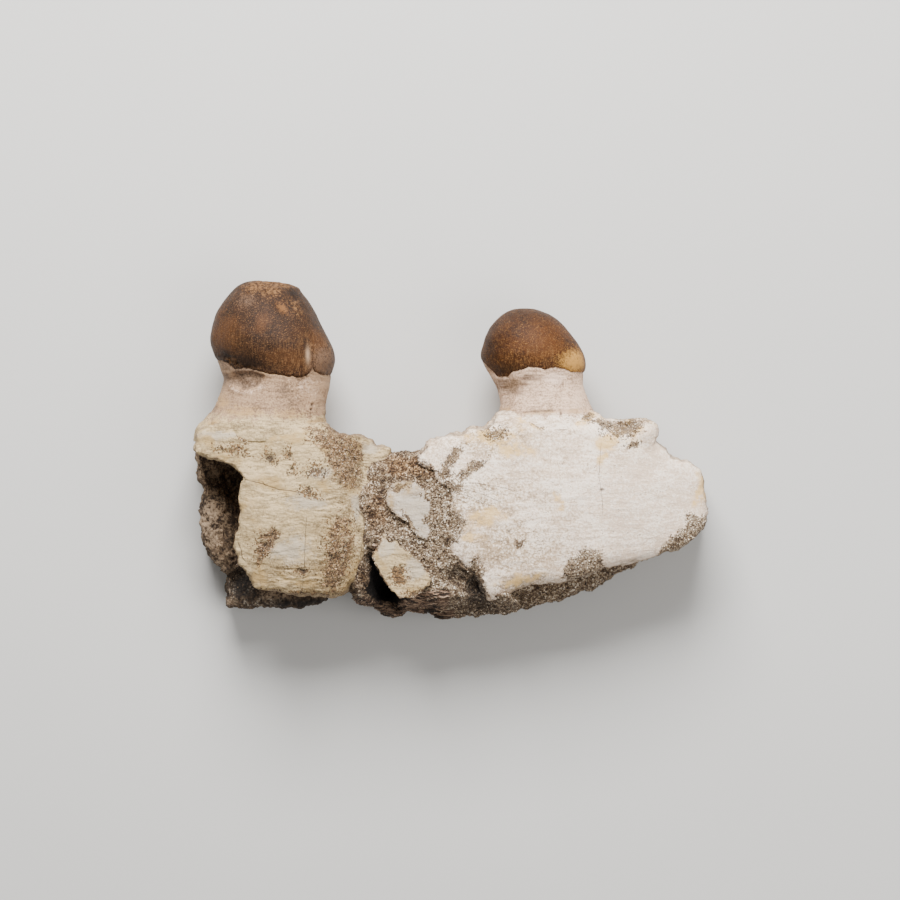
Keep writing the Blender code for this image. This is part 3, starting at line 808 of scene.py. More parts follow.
# light, ground, tan and deep tone of each kind of bone
YELLOWED = (tone(201, 175, 133), tone(168, 145, 106), tone(118, 97, 66), tone(70, 55, 40))
PALE = (tone(254, 236, 216), tone(224, 197, 172), tone(172, 144, 108), tone(104, 88, 72))
DUSTY = (tone(204, 190, 176), tone(180, 162, 142), tone(140, 115, 80), tone(80, 65, 50))
IRON, PALE_IRON = tone(164, 134, 86), tone(228, 186, 118)
yellowed_bone = bone_finish("yellowed_bone", YELLOWED, fibre=0.34, length=1, iron=IRON, stuck=0.88,
                            tint=tone(226, 202, 172))
pale_bone = bone_finish("pale_bone", PALE, fibre=0.11, length=0.35, iron=PALE_IRON)
dusty_bone = bone_finish("dusty_bone", DUSTY, fibre=0.20, length=0.6, iron=IRON)
print("bone finishes:", yellowed_bone.name, pale_bone.name, dusty_bone.name)

# %% [markdown]
# With shape and finish ready, the plate is put together. The number called skin is 1 on the smooth outer
# face and 0 on the broken sides, where the spongy inside of the bone shows.

# %% The left bone's outer plate: piece
PLATE_STAINS = {
    "ochre": [(-60, 5, 14, 4, -6), (-84, 3.5, 5, 2.2), (-50, -45, 12, 4.5), (-66, -44, 4, 6),
        (-38, 2, 9, 6), (-62, -12, 9, 3, -12), (-33, -14, 4, 5), (-70, -22, 4, 9), (-34, -44, 5, 8),
        (-45, -12, 4, 2.5, -20), (-52, 6, 4, 2.5), (-76, -3, 6, 2, -15), (-38, -28, 6, 6),
        (-62.7, -2.8, 4, 3.6)],
    "grime": [(-46, -7, 5, 3), (-76, 0, 8, 1.6, -12), (-39, -36, 6, 14, -8), (-72, 4, 3, 2),
        (-66, -34, 4, 6, -30), (-38, 0, 6, 9), (-48.5, -15.2, 5, 1.8, -15), (-62.7, -2.8, 3, 2.6),
        (-56, -50, 14, 1.4, -4), (-57, -1.5, 2, 3), (-55, -7, 2, 2), (-51.5, -42.5, 3, 1.6),
        (-46, 3.5, 5, 3, -30)],
    "chalky": [(-57, -35, 9, 5.5), (-50, -18.5, 8, 3.5, -8), (-44.5, -8, 4, 3), (-80, 5, 11, 1.8),
        (-32.5, -19.5, 2.5, 5), (-28, 0.5, 5, 2.5)],
}


def bone_marks(points, sand, aged, crack=None, **kinds):
    """The numbers that a bone finish reads, one for each point of a grid.

    The kinds of stain are ochre, grime and chalky; dark darkens pits and paints shade in a hollow. Each
    is nought where it isn't given.
    """
    skin = ease(grid_normals(points)[..., 2] + 0.15 * rough_noise(points, 3, 51), 0, 0.5)
    zero = np.zeros(points.shape[:2])
    side, wide = crack or (zero + 9, zero - 1)
    marks = {kind: zero + kinds.get(kind, 0) for kind in ("ochre", "grime", "chalky", "dark")}
    return {**marks, "skin": skin, "sand": np.clip(sand, -4, 4), "aged": zero + aged,
            "crack_side": side, "crack_wide": wide}


plate_stains = stains(plate, x, y, seed=401, kinds=PLATE_STAINS)
aged = 0.55 + 0.4 * ease(x, -56, -36) + 0.15 * spot(x, y, -78, 2, 9, 5) - 0.40 * spot(x, y, -48.5, -14, 6, 8)
aged += 0.9 * spot(x, y, -50, -45, 16, 5) - 0.5 * plate_stains["chalky"]
marks = bone_marks(plate, np.minimum(plate_sand, 1), np.clip(aged, 0, 1), cracks(x, y, LEFT_CRACKS),
                   ochre=0.85 * plate_stains["ochre"], grime=0.65 * plate_stains["grime"],
                   chalky=plate_stains["chalky"], dark=0.85 * pits)
add_piece("left_plate", closed_mesh("left_plate", plate, marks), yellowed_bone, "bone_left", "yellowed_bone")

# %% [markdown]
# Behind the plate stands the inner wall of the same bone, seen through the broken end. It is rough and
# brownish, with steep ridges where the bone has weathered. Its ridges are fibres turned on end.

# %% The left bone's inner wall
LEFT_WALL = [
    (-88.6, 6.7), (-78.8, 9.8), (-65.8, 10.5), (-52.5, 10.2), (-42, 8), (-33.3, 3.5), (-27.3, 0),
    (-29.4, -7), (-31.5, -17.5), (-30.1, -28), (-30.8, -38.5), (-34.3, -45.5), (-38, -51), (-43.7, -53.3),
    (-46.1, -54.3), (-49, -55), (-52.5, -55.7), (-63, -55.6), (-70.1, -55.7), (-76.4, -55.9),
    (-77.8, -55.4), (-78.8, -54.8), (-78.5, -52.7), (-78.5, -51), (-78.8, -47.5), (-78.8, -44.3),
    (-79.9, -42.5), (-80.6, -40.8), (-82, -40.1), (-83.8, -38.7), (-84.8, -37.3), (-85.5, -35.2),
    (-86.6, -33.4), (-87.6, -31.6), (-88, -29.2), (-88.2, -26.4), (-88, -22.9), (-87.6, -19.3),
    (-87.3, -16.9), (-87.5, -15.1), (-87.3, -13), (-88.3, -12), (-89, -10.5), (-89, -8.8), (-88.7, -6),
    (-89.4, -3.9), (-90.1, -1.8), (-90, 0.5), (-89.6, 3.2),
]
PAINTED_LIGHT_RIDGES = [(-84, -24, 5.5, 12), (-83, -8.5, 6, 3.5, -20), (-80, -42, 2, 5, 20), (-88.5, -5, 2, 6),
              (-48, -54, 9, 1), (-77.5, -54, 1.4, 1.6), (-62, -51.5, 8, 2, -4), (-64, -52, 6, 1.2, -8)]
wall_outline = ragged(along_outline(LEFT_WALL, 440), amount=0.25, grain=2, seed=61)
wall = block(wall_outline, ((-62, -6), (-60, -38)), underside, left_wall_face, boxiness=0.30,
             counts=(24, 50, 86))
relief = 0.9 * rough_noise(wall, 7, 63, 4, 0.55) + 0.45 * rough_noise(wall, 1.6, 67, 3)
relief += 0.55 * (pebbles(wall, 1.5, 69) - 0.5)
crevice = spot(wall[..., 0], wall[..., 1], -73.5, -48, 6, 9)
relief += crevice * (1.4 * pebbles(wall, 2.4, 71) - 0.9) + carved(wall, seed=79)
wall = rested(pushed(wall, relief), seed=73)


def inner_bone_finish():
    """Weathered spongy bone: browns and dusty pinks in steep ridges, with painted shade, nearly black,
    in the hollows, and painted light on some ridges.
    """
    r = Recipe("inner_bone", 0.9)
    ridge = r.streaks((1100, 260, 700), 5, 0.7, (0.003, 0.001, 0.001))
    grit = r.noise(1500, 5, 0.7)
    lumps = r.cells(900, "SMOOTH_F1")
    value = r.sum((0.25, ridge), (0.30, r.noise(260, 5, 0.65)), (0.40, grit), (-0.12, lumps), 0.07)
    r.colour = r.ramp(value, (0.38, tone(30, 22, 16)), (0.46, tone(76, 59, 44)), (0.54, tone(126, 104, 80)),
                      (0.64, tone(196, 170, 140)))
    r.coat(r.patch("sand", (9, ridge), -4.5, low=-0.4, high=0.4), sand_colour(r, 1500)[0])
    # painted light: lighter where ridges would catch the lamp
    r.coat(r.patch("painted_light", (6, value), -3, low=0.2, high=0.9), tone(172, 147, 120), 0.7)
    # painted shade, nearly black
    r.coat(r.mark("dark"), tone(24, 18, 13))
    r.emboss(ridge, 0.9, 0.8)
    r.emboss(lumps, -0.4, 0.8)
    r.emboss(grit, 0.6, 0.9)
    return r.finish()


x, y = wall[..., 0], wall[..., 1]
faces_up = ease(grid_normals(wall)[..., 2], -0.1, 0.5)
# The dark mark is painted shade: in the cavity under the plate's overhang, in the canal behind the plate and
# in the crevice, broken up by noise and stronger towards the bottom, less at the cavity's upper left. The low
# band adds the dark strata along the bottom.
low_band = ease(-y, 51, 53.5) * (0.25 + 0.55 * faces_up) * ease(x, -70, -56)
shade = np.maximum(0.35 * spot(x, y, -72, -11, 6.5, 4.5, -15), spot(x, y, -72.5, -47.5, 6, 6.5))
shade = shade + 0.20 * spot(x, y, -73, -26, 2.6, 18) + low_band
shade = shade * (0.6 + 0.4 * ease(rough_noise(wall, 2.5, 75, 3), -0.6, 0.3))
dark = 0.9 * shade + 0.22 * ease(-y, 42, 50) - 0.6 * spot(x, y, -81, -9, 6, 3.5, -20)
# The light mark paints light on the left ridge, the cavity's upper left and bits low down.
marks = {"sand": 4.5 * np.maximum(crevice, spot(x, y, -64, -53.5, 10, 3)) - 3,
         "dark": np.clip(dark, 0, 0.95), "painted_light": 0.8 * spots(x, y, PAINTED_LIGHT_RIDGES)}
inner_bone = inner_bone_finish()
add_piece("left_wall", closed_mesh("left_wall", wall, marks), inner_bone, "bone_left", "yellowed_bone")

# %% [markdown]
# The right bone is the long pale block that carries the small tooth. Its outer face is smooth and nearly
# white. Only its edges are broken: a row of knobs along the top, a tan band at its right end, and a ragged
# left edge against the rock.

# %% The right bone: outline, stains and cracks
RIGHT_BLOCK = [
    (-7.8, 2.5), (-6.8, 3.5), (-4.7, 3.9), (-1.8, 4.4), (0.3, 5.4), (2, 6), (4.1, 5.8), (5.9, 7),
    (7.3, 7.9), (8.7, 8.3), (11.2, 7.6), (13.6, 8.6), (15.4, 10), (17, 12.4), (25, 14.5), (35, 15),
    (45, 14.5), (51.5, 13), (54.1, 10.9), (56.5, 10.6), (61.8, 10.9), (65.3, 11.2), (68.8, 11),
    (70.6, 10.5), (72, 9.1), (72.7, 7.7), (72.9, 6), (72.3, 4.2), (72.3, 3.2), (74.1, 1.6), (75.9, 0.4),
    (76.6, -0.5), (77.6, -1.8), (79.4, -2.8), (81.1, -3.7), (83.2, -3.7), (84.3, -4), (85, -4.6),
    (85.7, -5.6), (86.8, -6.3), (88.2, -7.2), (88.5, -8.1), (89.2, -9.8), (89.6, -11.6), (89.6, -13),
    (90.1, -14.8), (90.1, -17.6), (90.3, -21.1), (90.3, -23.9), (89.7, -24.8), (89.2, -26.7), (88.2, -28.1),
    (86.4, -29.9), (84.6, -31.3), (82.9, -32.7), (80.4, -34.5), (77.6, -35.5), (74.1, -36.7), (70.6, -37.6),
    (67.1, -38.7), (61.8, -39.9), (58.3, -40.6), (54.1, -40.8), (48.4, -44.1), (45.3, -44.7), (40.7, -45.7),
    (38.2, -46.6), (31.9, -46.8), (28.4, -47.1), (26.6, -47.6), (23.1, -48.9), (19.6, -50.6), (16.1, -51.7),
    (13.3, -52), (12.9, -50.3), (11.2, -48.5), (10.5, -46), (8.5, -43.6), (6.2, -42.2), (3.8, -39.7),
    (1, -37.3), (-0.1, -36.2), (-0.8, -33.4), (0, -29), (0, -25), (-0.1, -20.4), (0.3, -17.6),
    (-0.1, -14.1), (-0.8, -12.7), (-4.7, -10.9), (-5.7, -8.8), (-6.1, -6), (-8.5, -5.6), (-11.3, -4.6),
    (-11.7, -1.8), (-9.2, 0.7),
]
RIGHT_SAND = [
    [(-1, -19.4), (2, -21.4), (4.5, -22.9), (5.5, -24.6), (4.5, -27.1), (4.1, -29.9), (3.1, -32.3),
     (1.3, -32.7), (-0.8, -33.4), (-4, -30), (-4, -20)],
    [(5, -43.5), (6.6, -42), (9.4, -37.3), (10.1, -40.4), (11.9, -42.2), (11.9, -45), (12.8, -48.5),
     (13.8, -51), (13, -54), (4, -52)],
    [(40.3, -43.2), (41.4, -41.1), (42.8, -38.7), (44.6, -37.3), (46, -35.9), (47.7, -34.8), (49.1, -34.8),
     (50.2, -36.2), (53.4, -36.2), (53.7, -38.7), (54.1, -42), (46, -46.5), (41, -47)],
    [(72, -38.5), (74.8, -35.5), (75.5, -33.8), (76.9, -32), (78.3, -30.6), (80.4, -28.8), (82.5, -27.1),
     (83.6, -25), (83.2, -22.5), (85.4, -22.2), (87.1, -23.2), (92, -23.6), (92, -32), (80, -39)],
]
RIGHT_CRACKS = [
    ([(53.4, 3.5), (53, -3.5), (52.6, -9.8), (53.4, -14.1), (53.9, -19.3), (53.6, -24.5)], 0.06),
    ([(28.4, 11.6), (33.7, 12), (38.9, 13.4), (44.2, 14.4), (49.5, 14.1)], 0.1),
    ([(2.5, -13.2), (7.2, -14.1), (12.2, -15.8), (19.2, -19)], 0.09),
    ([(1.5, -16.4), (5.4, -18.4), (9.4, -21)], 0.09),
    ([(4, -11.4), (11, -11.9), (17.8, -13), (24.9, -14.8)], 0.07),
    ([(3.4, -15.1), (8.4, -16.9), (13.6, -19.8)], 0.08),
    ([(9.4, -13.3), (15.4, -14.4), (21, -16.2)], 0.06),
    ([(8.8, -8.1), (11.5, -5.6), (13.6, -3.5)], 0.12),
]
RIGHT_PITS = [(39.3, 12.7, 0.7, 1), (31, 9, 2, 1, -30), (53.7, -14.1, 0.8, 0.5), (21, -28.8, 0.5, 0.5),
              (-0.6, -2.6, 0.5, 0.5)]
RIGHT_AGED = [(8, -18, 18, 9, 8), (14, 4, 16, 7), (16, 6, 9, 4), (22, -34, 18, 10), (60, 3, 10, 6, 20),
              (24, -47, 14, 3.5, 10)]
RIGHT_STAINS = {
    "ochre": [(12, -24.6, 7, 3.2, 12), (23.5, -0.6, 6.5, 3.5), (38.8, -17.9, 1.6, 3.2, 20),
        (14.5, 5, 7.5, 2.6), (20, 3, 4, 2.5, 30), (9, 4, 4, 2), (56.5, 3, 8, 3, 15), (54, -3, 2, 5),
        (48, 11, 5, 3), (88.6, -15, 2, 9, -8), (24, -45.5, 9, 1.6, 10), (63.5, 8, 7, 3, 15), (30, 9, 5, 3),
        (8, -31, 5, 1.6)],
    "grime": [(0.6, -4.2, 7, 1.6, 48), (7.3, -7, 6.5, 1.6, 33), (-2, -8.5, 3, 2), (62.5, 8, 6.6, 2.8, 15),
        (64, 2, 3, 1.2, 20), (16.5, 6, 4, 2.2), (25.2, -32.4, 2, 1), (0.6, -13.2, 3.6, 2.2),
        (31, 9, 2.6, 1.6, -20), (46, 12.5, 5, 1.4, -10), (54, 9, 5, 1.4, -20)],
}
ROCK_SIDE = RIGHT_BLOCK[-22:]  # the left edge of the outline, which meets the rock
print("right bone:", len(RIGHT_BLOCK), "corners,", len(RIGHT_CRACKS), "cracks")

# %% [markdown]
# Sand clings to the edge that meets the rock and to the lower sides, in patches that noise breaks up. The
# rim along the top is knobbly, because there the bone has grown up round the teeth.

# %% The right bone: piece
right_outline = ragged(along_outline(RIGHT_BLOCK, 560), amount=0.25, grain=1.8, seed=81)
right = block(right_outline, ((12, -16), (62, -16)), underside, right_outer, boxiness=0.17,
              counts=(14, 34, 126))
x, y = wandering(right)
right_sand = np.maximum(deepest(x, y, RIGHT_SAND), 0.6 - line_distance(x, y, ROCK_SIDE))
low_side = 1 - ease(right[..., 2], 24, 36)
right_sand += low_side * (3 * rough_noise(right, 12, 97, 3) + 1.5 * ease(-y, 20, 36))
right_skin = outer_skin(right)
relief, sandy = bone_relief(right, right_skin, right_sand, seeds=(83, 85, 87, 91, 93), waves=(0.45, 13),
                            threads=(0.09, 8, 1.2), grains=(0.45, 0.1))
top_rim = ease(y, -2, 6) * ease(-x, -20, 2)
pits = spots(x, y, RIGHT_PITS)
relief += 0.7 * top_rim * rough_noise(right, 4, 89, 4, 0.6) + carved(right, seed=99) - 0.6 * pits
right = rested(pushed(right, relief), seed=95)
right_stains = stains(right, x, y, seed=421, kinds=RIGHT_STAINS)
# dark: the pits darker, and painted shade between the lumps of the sandy hollow by the lower left corner
dark = np.maximum(0.8 * pits, 0.95 * hollow(x, y) * sandy * gritty_dark(right, seed=425))
marks = bone_marks(right, right_sand, 0.06 + 0.34 * (1 - ease(x, 40, 60)) + 0.6 * spots(x, y, RIGHT_AGED),
                   cracks(x, y, RIGHT_CRACKS), ochre=1.35 * right_stains["ochre"],
                   grime=1.15 * right_stains["grime"], dark=dark)
add_piece("right_block", closed_mesh("right_block", right, marks), pale_bone, "bone_right", "pale_bone")

# %% [markdown]
# Two flakes of the outer bone lie in the rock between the blocks, like tiles in mortar. They are thin
# blocks with sharper edges.

# %% The two chips
UPPER_CHIP = [
    (-22.6, -17.6), (-21.9, -15.1), (-20.8, -13), (-19.8, -11.6), (-17.3, -10.9), (-14.5, -10.5),
    (-12, -11.3), (-10.3, -12.7), (-7.8, -14.1), (-6.4, -15.8), (-6.4, -19.3), (-7.1, -22.9), (-6.8, -26.4),
    (-6.8, -29.2), (-7.5, -31.6), (-8.9, -31.6), (-10.3, -30.9), (-12, -29.2), (-13.1, -27.4),
    (-14.9, -24.6), (-17.3, -23.6), (-19.4, -22.2), (-21.5, -19.7),
]
LOWER_CHIP = [
    (-27.2, -37.3), (-25.8, -35.5), (-24.7, -33.4), (-24.3, -30.9), (-23.6, -29.4), (-20.8, -28.6),
    (-18.7, -30.6), (-17.3, -33.4), (-14.5, -35.2), (-12, -37.3), (-9.9, -39), (-8.5, -41.5), (-7.5, -43.2),
    (-6.4, -45.7), (-6.8, -47.8), (-8.5, -48.9), (-12, -51.7), (-17.3, -52), (-19.1, -50.6), (-20.8, -49.2),
    (-22.2, -47.1), (-24, -44), (-25.4, -41.1), (-26.5, -38.7),
]
CHIP_STAINS = {
    "ochre": [(-15.5, -12.5, 8, 3), (-21, -17, 2.8, 4.5), (-24.5, -38, 1.8, 8, 25), (-11, -49.5, 6, 2)],
    "grime": [(-17.5, -13, 3.2, 1.2, 10), (-17.3, -44.6, 3.4, 2.6), (-18.6, -43.8, 2, 2.4),
        (-9, -50, 6, 1.6, 10), (-14, -24.5, 4, 1.2, -50)],
    "chalky": [(-10.5, -23, 5, 9, 10), (-11, -42, 5, 4), (-15, -18, 6, 4), (-21.5, -34, 4, 4)],
}
THICKNESS = 7                 # of a chip


def make_chip(name, outline, spine, height, seed, aged, finish, node, slot):
    """A flake whose face falls by 0.02 mm for each millimetre up the picture. Also gives where grains lie."""
    def face(x, y):
        """The outer face of the flake."""
        return height - 0.02 * (y + 30)

    edge = ragged(along_outline(drawn_in(outline, FACE_HEIGHT), 300), amount=0.35, grain=1.6, seed=seed)
    chip = block(edge, spine, lambda x, y: face(x, y) - THICKNESS, face, boxiness=0.16, counts=(8, 20, 64))
    skin = outer_skin(chip)
    relief = 0.35 * rough_noise(chip, 6, seed + 1, 4) + 0.12 * fibres(chip, 6, 1.1, seed + 5) * skin
    chip = pushed(chip, relief)
    x, y = seen(chip)
    kinds = stains(chip, x, y, seed + 440, CHIP_STAINS)
    sand = 0.1 - 1.8 * patch_depth(x, y, outline)
    marks = bone_marks(chip, sand, aged - 0.45 * spot(x, y, -21.5, -35, 5.5, 5.5),
                       ochre=0.8 * kinds["ochre"], grime=1.4 * kinds["grime"], chalky=kinds["chalky"])
    add_piece(name, closed_mesh(name, chip, marks), finish, node, slot)
    return chip, ease(sand + 0.8 * rough_noise(chip, 1.5, seed + 9), -0.4, 0.8) * skin


upper, upper_bed = make_chip("chip_upper", UPPER_CHIP, ((-15, -17), (-11.5, -26)), height=42.4, seed=101,
                             aged=0.45, finish=dusty_bone, node="bone_chip_upper", slot="pale_bone")
lower, lower_bed = make_chip("chip_lower", LOWER_CHIP, ((-19, -35), (-14, -45)), height=42, seed=111,
                             aged=0.75, finish=yellowed_bone, node="bone_chip_lower", slot="yellowed_bone")

# %% [markdown]
# The rock between the bones is a coarse sandstone. Its surface is pebbly all over, so cell noise is added
# to it, and loose grains are strewn on top afterwards. Under the bones it is drawn in, so that it does not
# show through their undersides.

# %% The rock finish
RUST = tone(230, 184, 112)


def rock_finish():
    """Sandstone of mixed browns, rustier near the top, with strata of brown bone low on its left."""
    r = Recipe("sandy_rock", 0.95)
    r.colour, joints, _ = sand_colour(r, 2100)
    uneven = r.sum(r.noise(160, 5), -0.5)
    r.coat(r.patch("rust", (2, uneven), low=0.2, high=0.9), RUST, 0.55, "MULTIPLY")
    strata = r.streaks((110, 1300, 1300), 5, 0.7)
    bone = r.ramp(strata, (0.40, tone(28, 21, 16)), (0.48, tone(72, 56, 44)), (0.55, tone(140, 112, 90)),
                  (0.63, tone(206, 176, 148)))
    r.coat(r.patch("layered", (2, uneven), low=0.35, high=0.65), bone)
    r.coat(r.mark("dark"), tone(26, 19, 15))
    r.emboss(joints, -0.35, 0.9)
    r.emboss(strata, 0.8, 0.7)
    r.emboss(r.noise(3200, 3, 0.7), 0.15, 0.7)
    return r.finish()


sandy_rock = rock_finish()
print("rock finish:", sandy_rock.name)

# %% [markdown]
# The core fills the break from the inner side to the outer face. A deep dark gap opens beside the left
# bone's lower corner. The ledge is a second block, which sticks out below the right bone's lower edge.

# %% The rock core and the ledge: outlines
ROCK_CORE = [
    (-27.3, -3), (-20.8, -1.1), (-17.3, -1.2), (-13.8, -0.9), (-11, -0.2), (-5.3, -1), (4, -7), (10, -20),
    (14, -34), (18, -45), (24.5, -54.6), (19.3, -57.3), (14.3, -57.8), (10.8, -58), (7.3, -58.4),
    (3.8, -58.5), (1, -58.7), (-2.2, -59.3), (-5, -59.3), (-5.7, -58), (-6.8, -56.3), (-10.3, -57),
    (-13.1, -56.6), (-15.2, -56.8), (-17.3, -58), (-19.1, -58.5), (-22.6, -58.4), (-24.3, -57),
    (-26.1, -54.8), (-30.7, -54.3), (-32.8, -52.7), (-33.5, -51), (-34.6, -45.5), (-36, -38.5), (-35, -28),
    (-34, -17.5), (-30, -8),
]
ROCK_LEDGE = [
    (-12, -50), (0, -45), (14, -42), (31.5, -40), (49, -35.5), (62, -32.5), (68, -34.5), (70.6, -37.9),
    (67.1, -39.2), (65.3, -39.9), (63.6, -41.1), (60, -43.4), (56.5, -45.7), (53, -47.5), (49.5, -49),
    (46, -49.9), (42.5, -51.3), (38.9, -52.6), (35.4, -53.4), (31.9, -54.3), (28.4, -55.7), (24.9, -56.3),
    (21.4, -57.3), (17.8, -57.5), (10.5, -57.9), (3.5, -58.2), (0, -58), (-8, -55.5),
]
GAP = [
    (-27.5, -36.5), (-24.7, -42), (-22.2, -46.6), (-19.5, -49.5), (-16.6, -52), (-18, -53.8), (-26, -53.1),
    (-29, -49.6), (-27.8, -43.9),
]
print("corners of core, ledge and gap:", len(ROCK_CORE), len(ROCK_LEDGE), len(GAP))

# %% [markdown]
# Two functions tell where a bone covers the rock. There its face sinks and its underside rises, so that it
# can't come through the bone. One function then makes both blocks, because they are the same stone.

# %% The rock core and the ledge: pieces
def rustiness(x, y):
    """Where the sand is golden brown: under the tooth's gap and beside the left bone."""
    beside = spots(x, y, [(-25.5, -22, 5, 11), (-30, -44, 4, 6)])
    return np.maximum(spot(x, y, -13.5, -6, 10, 5.5), 0.7 * beside)


def under_bone(x, y):
    """How far inside the outline of one of the two bones a place lies."""
    return np.maximum(patch_depth(x, y, LEFT_WALL), patch_depth(x, y, RIGHT_BLOCK))


def inner_side(x, y):
    """The jaw's underside, raised by 4 mm within the outlines of the two bones, so no rock shows there."""
    return underside(x, y) + 4 * ease(under_bone(x, y), -0.5, 1.5)


def sunk_under_bone(x, y):
    """6 mm where the right bone lies over the rock, easing to 0 at its edge, so no rock comes through."""
    return 6 * ease(patch_depth(x, y, RIGHT_BLOCK), 0.5, 3)


def make_rock(name, outline, spine, face, boxiness, counts, seed):
    """A block with lumps, pebbles, pits and strata, and its marks. Returns the grid and where grains lie."""
    edge = ragged(along_outline(outline, 460), amount=0.4, grain=2, seed=seed)
    rock = block(edge, spine, inner_side, lambda x, y: face(x, y) - sunk_under_bone(x, y), boxiness, counts)
    x, y = seen(rock)
    hollowed = hollow(x, y)
    left_of_middle = 1 - ease(x + 5 * rough_noise(rock, 8, seed + 15, 3), -4, 4)
    layered = ease(-y, 50, 54) * left_of_middle
    layered = layered + 0.8 * spots(x, y, [(-26.5, -33.5, 1.8, 3), (-5.5, -50.8, 9, 2.4, 6)])
    gap = ease(patch_depth(x, y, GAP) + 0.5 * rough_noise(rock, 2, seed + 11), -0.8, 0.4)
    relief = (0.9 - 0.5 * layered) * rough_noise(rock, 5, seed + 1, 4, 0.55)
    relief += 0.5 * (pebbles(rock, 1.1, seed + 5) - 0.5) - 1.5 * hollowed + spot(x, y, -8.6, -7.6, 3, 3)
    relief += layered * 0.9 * fibres(rock, 9, 1.2, seed + 7) + carved(rock, seed + 17)
    rock = rested(pushed(rock, relief), seed + 9)
    # Painted shade: the gap and the hollow nearly black; also darker along the sunken lower edge and left of
    # the gap.
    dark = np.maximum(0.97 * gap, hollowed * gritty_dark(rock, seed + 13))
    dark = dark + 0.3 * np.maximum(ease(-y, 52, 56), 1.6 * spot(x, y, -29.5, -45, 4, 8))
    marks = {"rust": rustiness(x, y), "layered": layered, "dark": np.clip(dark, 0, 0.97)}
    add_piece(name, closed_mesh(name, rock, marks), sandy_rock, "matrix", "sandy_rock")
    covered = under_bone(rock[..., 0], rock[..., 1])
    bare = (1 - ease(covered, 0, 1.5)) * (rock[..., 2] > 1) * (1 - 0.5 * hollowed)
    return rock, bare * (1 - ease(gap, 0.1, 0.4)) * (1 - 0.9 * ease(layered, 0.2, 0.6))


core, core_bed = make_rock("rock_core", ROCK_CORE, ((-12, -14), (-10, -44)), rock_face, boxiness=0.22,
                           counts=(14, 40, 110), seed=121)
ledge, ledge_bed = make_rock("rock_ledge", ROCK_LEDGE, ((0, -51), (58, -39)), ledge_face, boxiness=0.36,
                             counts=(14, 40, 90), seed=141)

# %% [markdown]
# Real grains stand proud of the rock, and at this scale the eye counts them. Each is a cube of twelve
# triangles, with its corners pulled in and out, turned and squashed at random. Places are drawn from a
# grid in proportion to area and to a density, and all grains of one strewing are a single mesh.

# %% Grains of sand
CORNERS = np.array(list(np.ndindex(2, 2, 2))) * 2 - 1
CORNERS = CORNERS / np.linalg.norm(CORNERS[0])
SIDES = np.array([(0, 1, 3), (0, 3, 2), (4, 6, 7), (4, 7, 5), (0, 4, 5), (0, 5, 1),
                  (2, 3, 7), (2, 7, 6), (0, 2, 6), (0, 6, 4), (1, 5, 7), (1, 7, 3)])


def strewn(points, density, count, rng):
    """Places and normals on a grid: a face is drawn by its area times density, then a point within it."""
    around, between = np.roll(points, -1, axis=1) - points, points[1:] - points[:-1]
    area = np.linalg.norm(np.cross(around[:-1], between), axis=-1) * density[:-1]
    drawn = rng.choice(area.size, count, p=area.ravel() / area.sum())
    ring, side = np.divmod(drawn, points.shape[1])
    share = rng.random((2, count, 1))
    places = points[ring, side] + share[0] * around[ring, side] + share[1] * between[ring, side]
    return places, grid_normals(points)[ring, side]


def turns(count, rng):
    """Random turning matrices, from random unit quaternions."""
    w, x, y, z = rng.normal(size=(count, 4)).T
    length = np.sqrt(w * w + x * x + y * y + z * z)
    w, x, y, z = w / length, x / length, y / length, z / length
    rows = [[1 - 2 * (y * y + z * z), 2 * (x * y - z * w), 2 * (x * z + y * w)],
            [2 * (x * y + z * w), 1 - 2 * (x * x + z * z), 2 * (y * z - x * w)],
            [2 * (x * z - y * w), 2 * (y * z + x * w), 1 - 2 * (x * x + y * y)]]
    return np.array(rows).transpose(2, 0, 1)


print("corners and triangles of a grain:", len(CORNERS), len(SIDES))

# %% [markdown]
# Each grain could be an object of its own, but tens of thousands of objects are slow to handle. One mesh
# for each strewing is not. Most grains are small and a few are large, as in real sand, and where the grime
# is thick on the bones a few grains lie loose as well.

# %% Strewings
def grain_finish():
    """Each grain takes one tone from the sand's range, with a little mottling."""
    r = Recipe("sand_grains", 0.7)
    r.colour = r.ramp(r.sum(r.mark("tone"), (0.5, r.noise(2500)), -0.25), *SAND_TONES)
    r.coat(r.mark("rust"), RUST, 0.55, "MULTIPLY")
    r.emboss(r.noise(5000, 2), 0.08, 0.6)
    return r.finish()


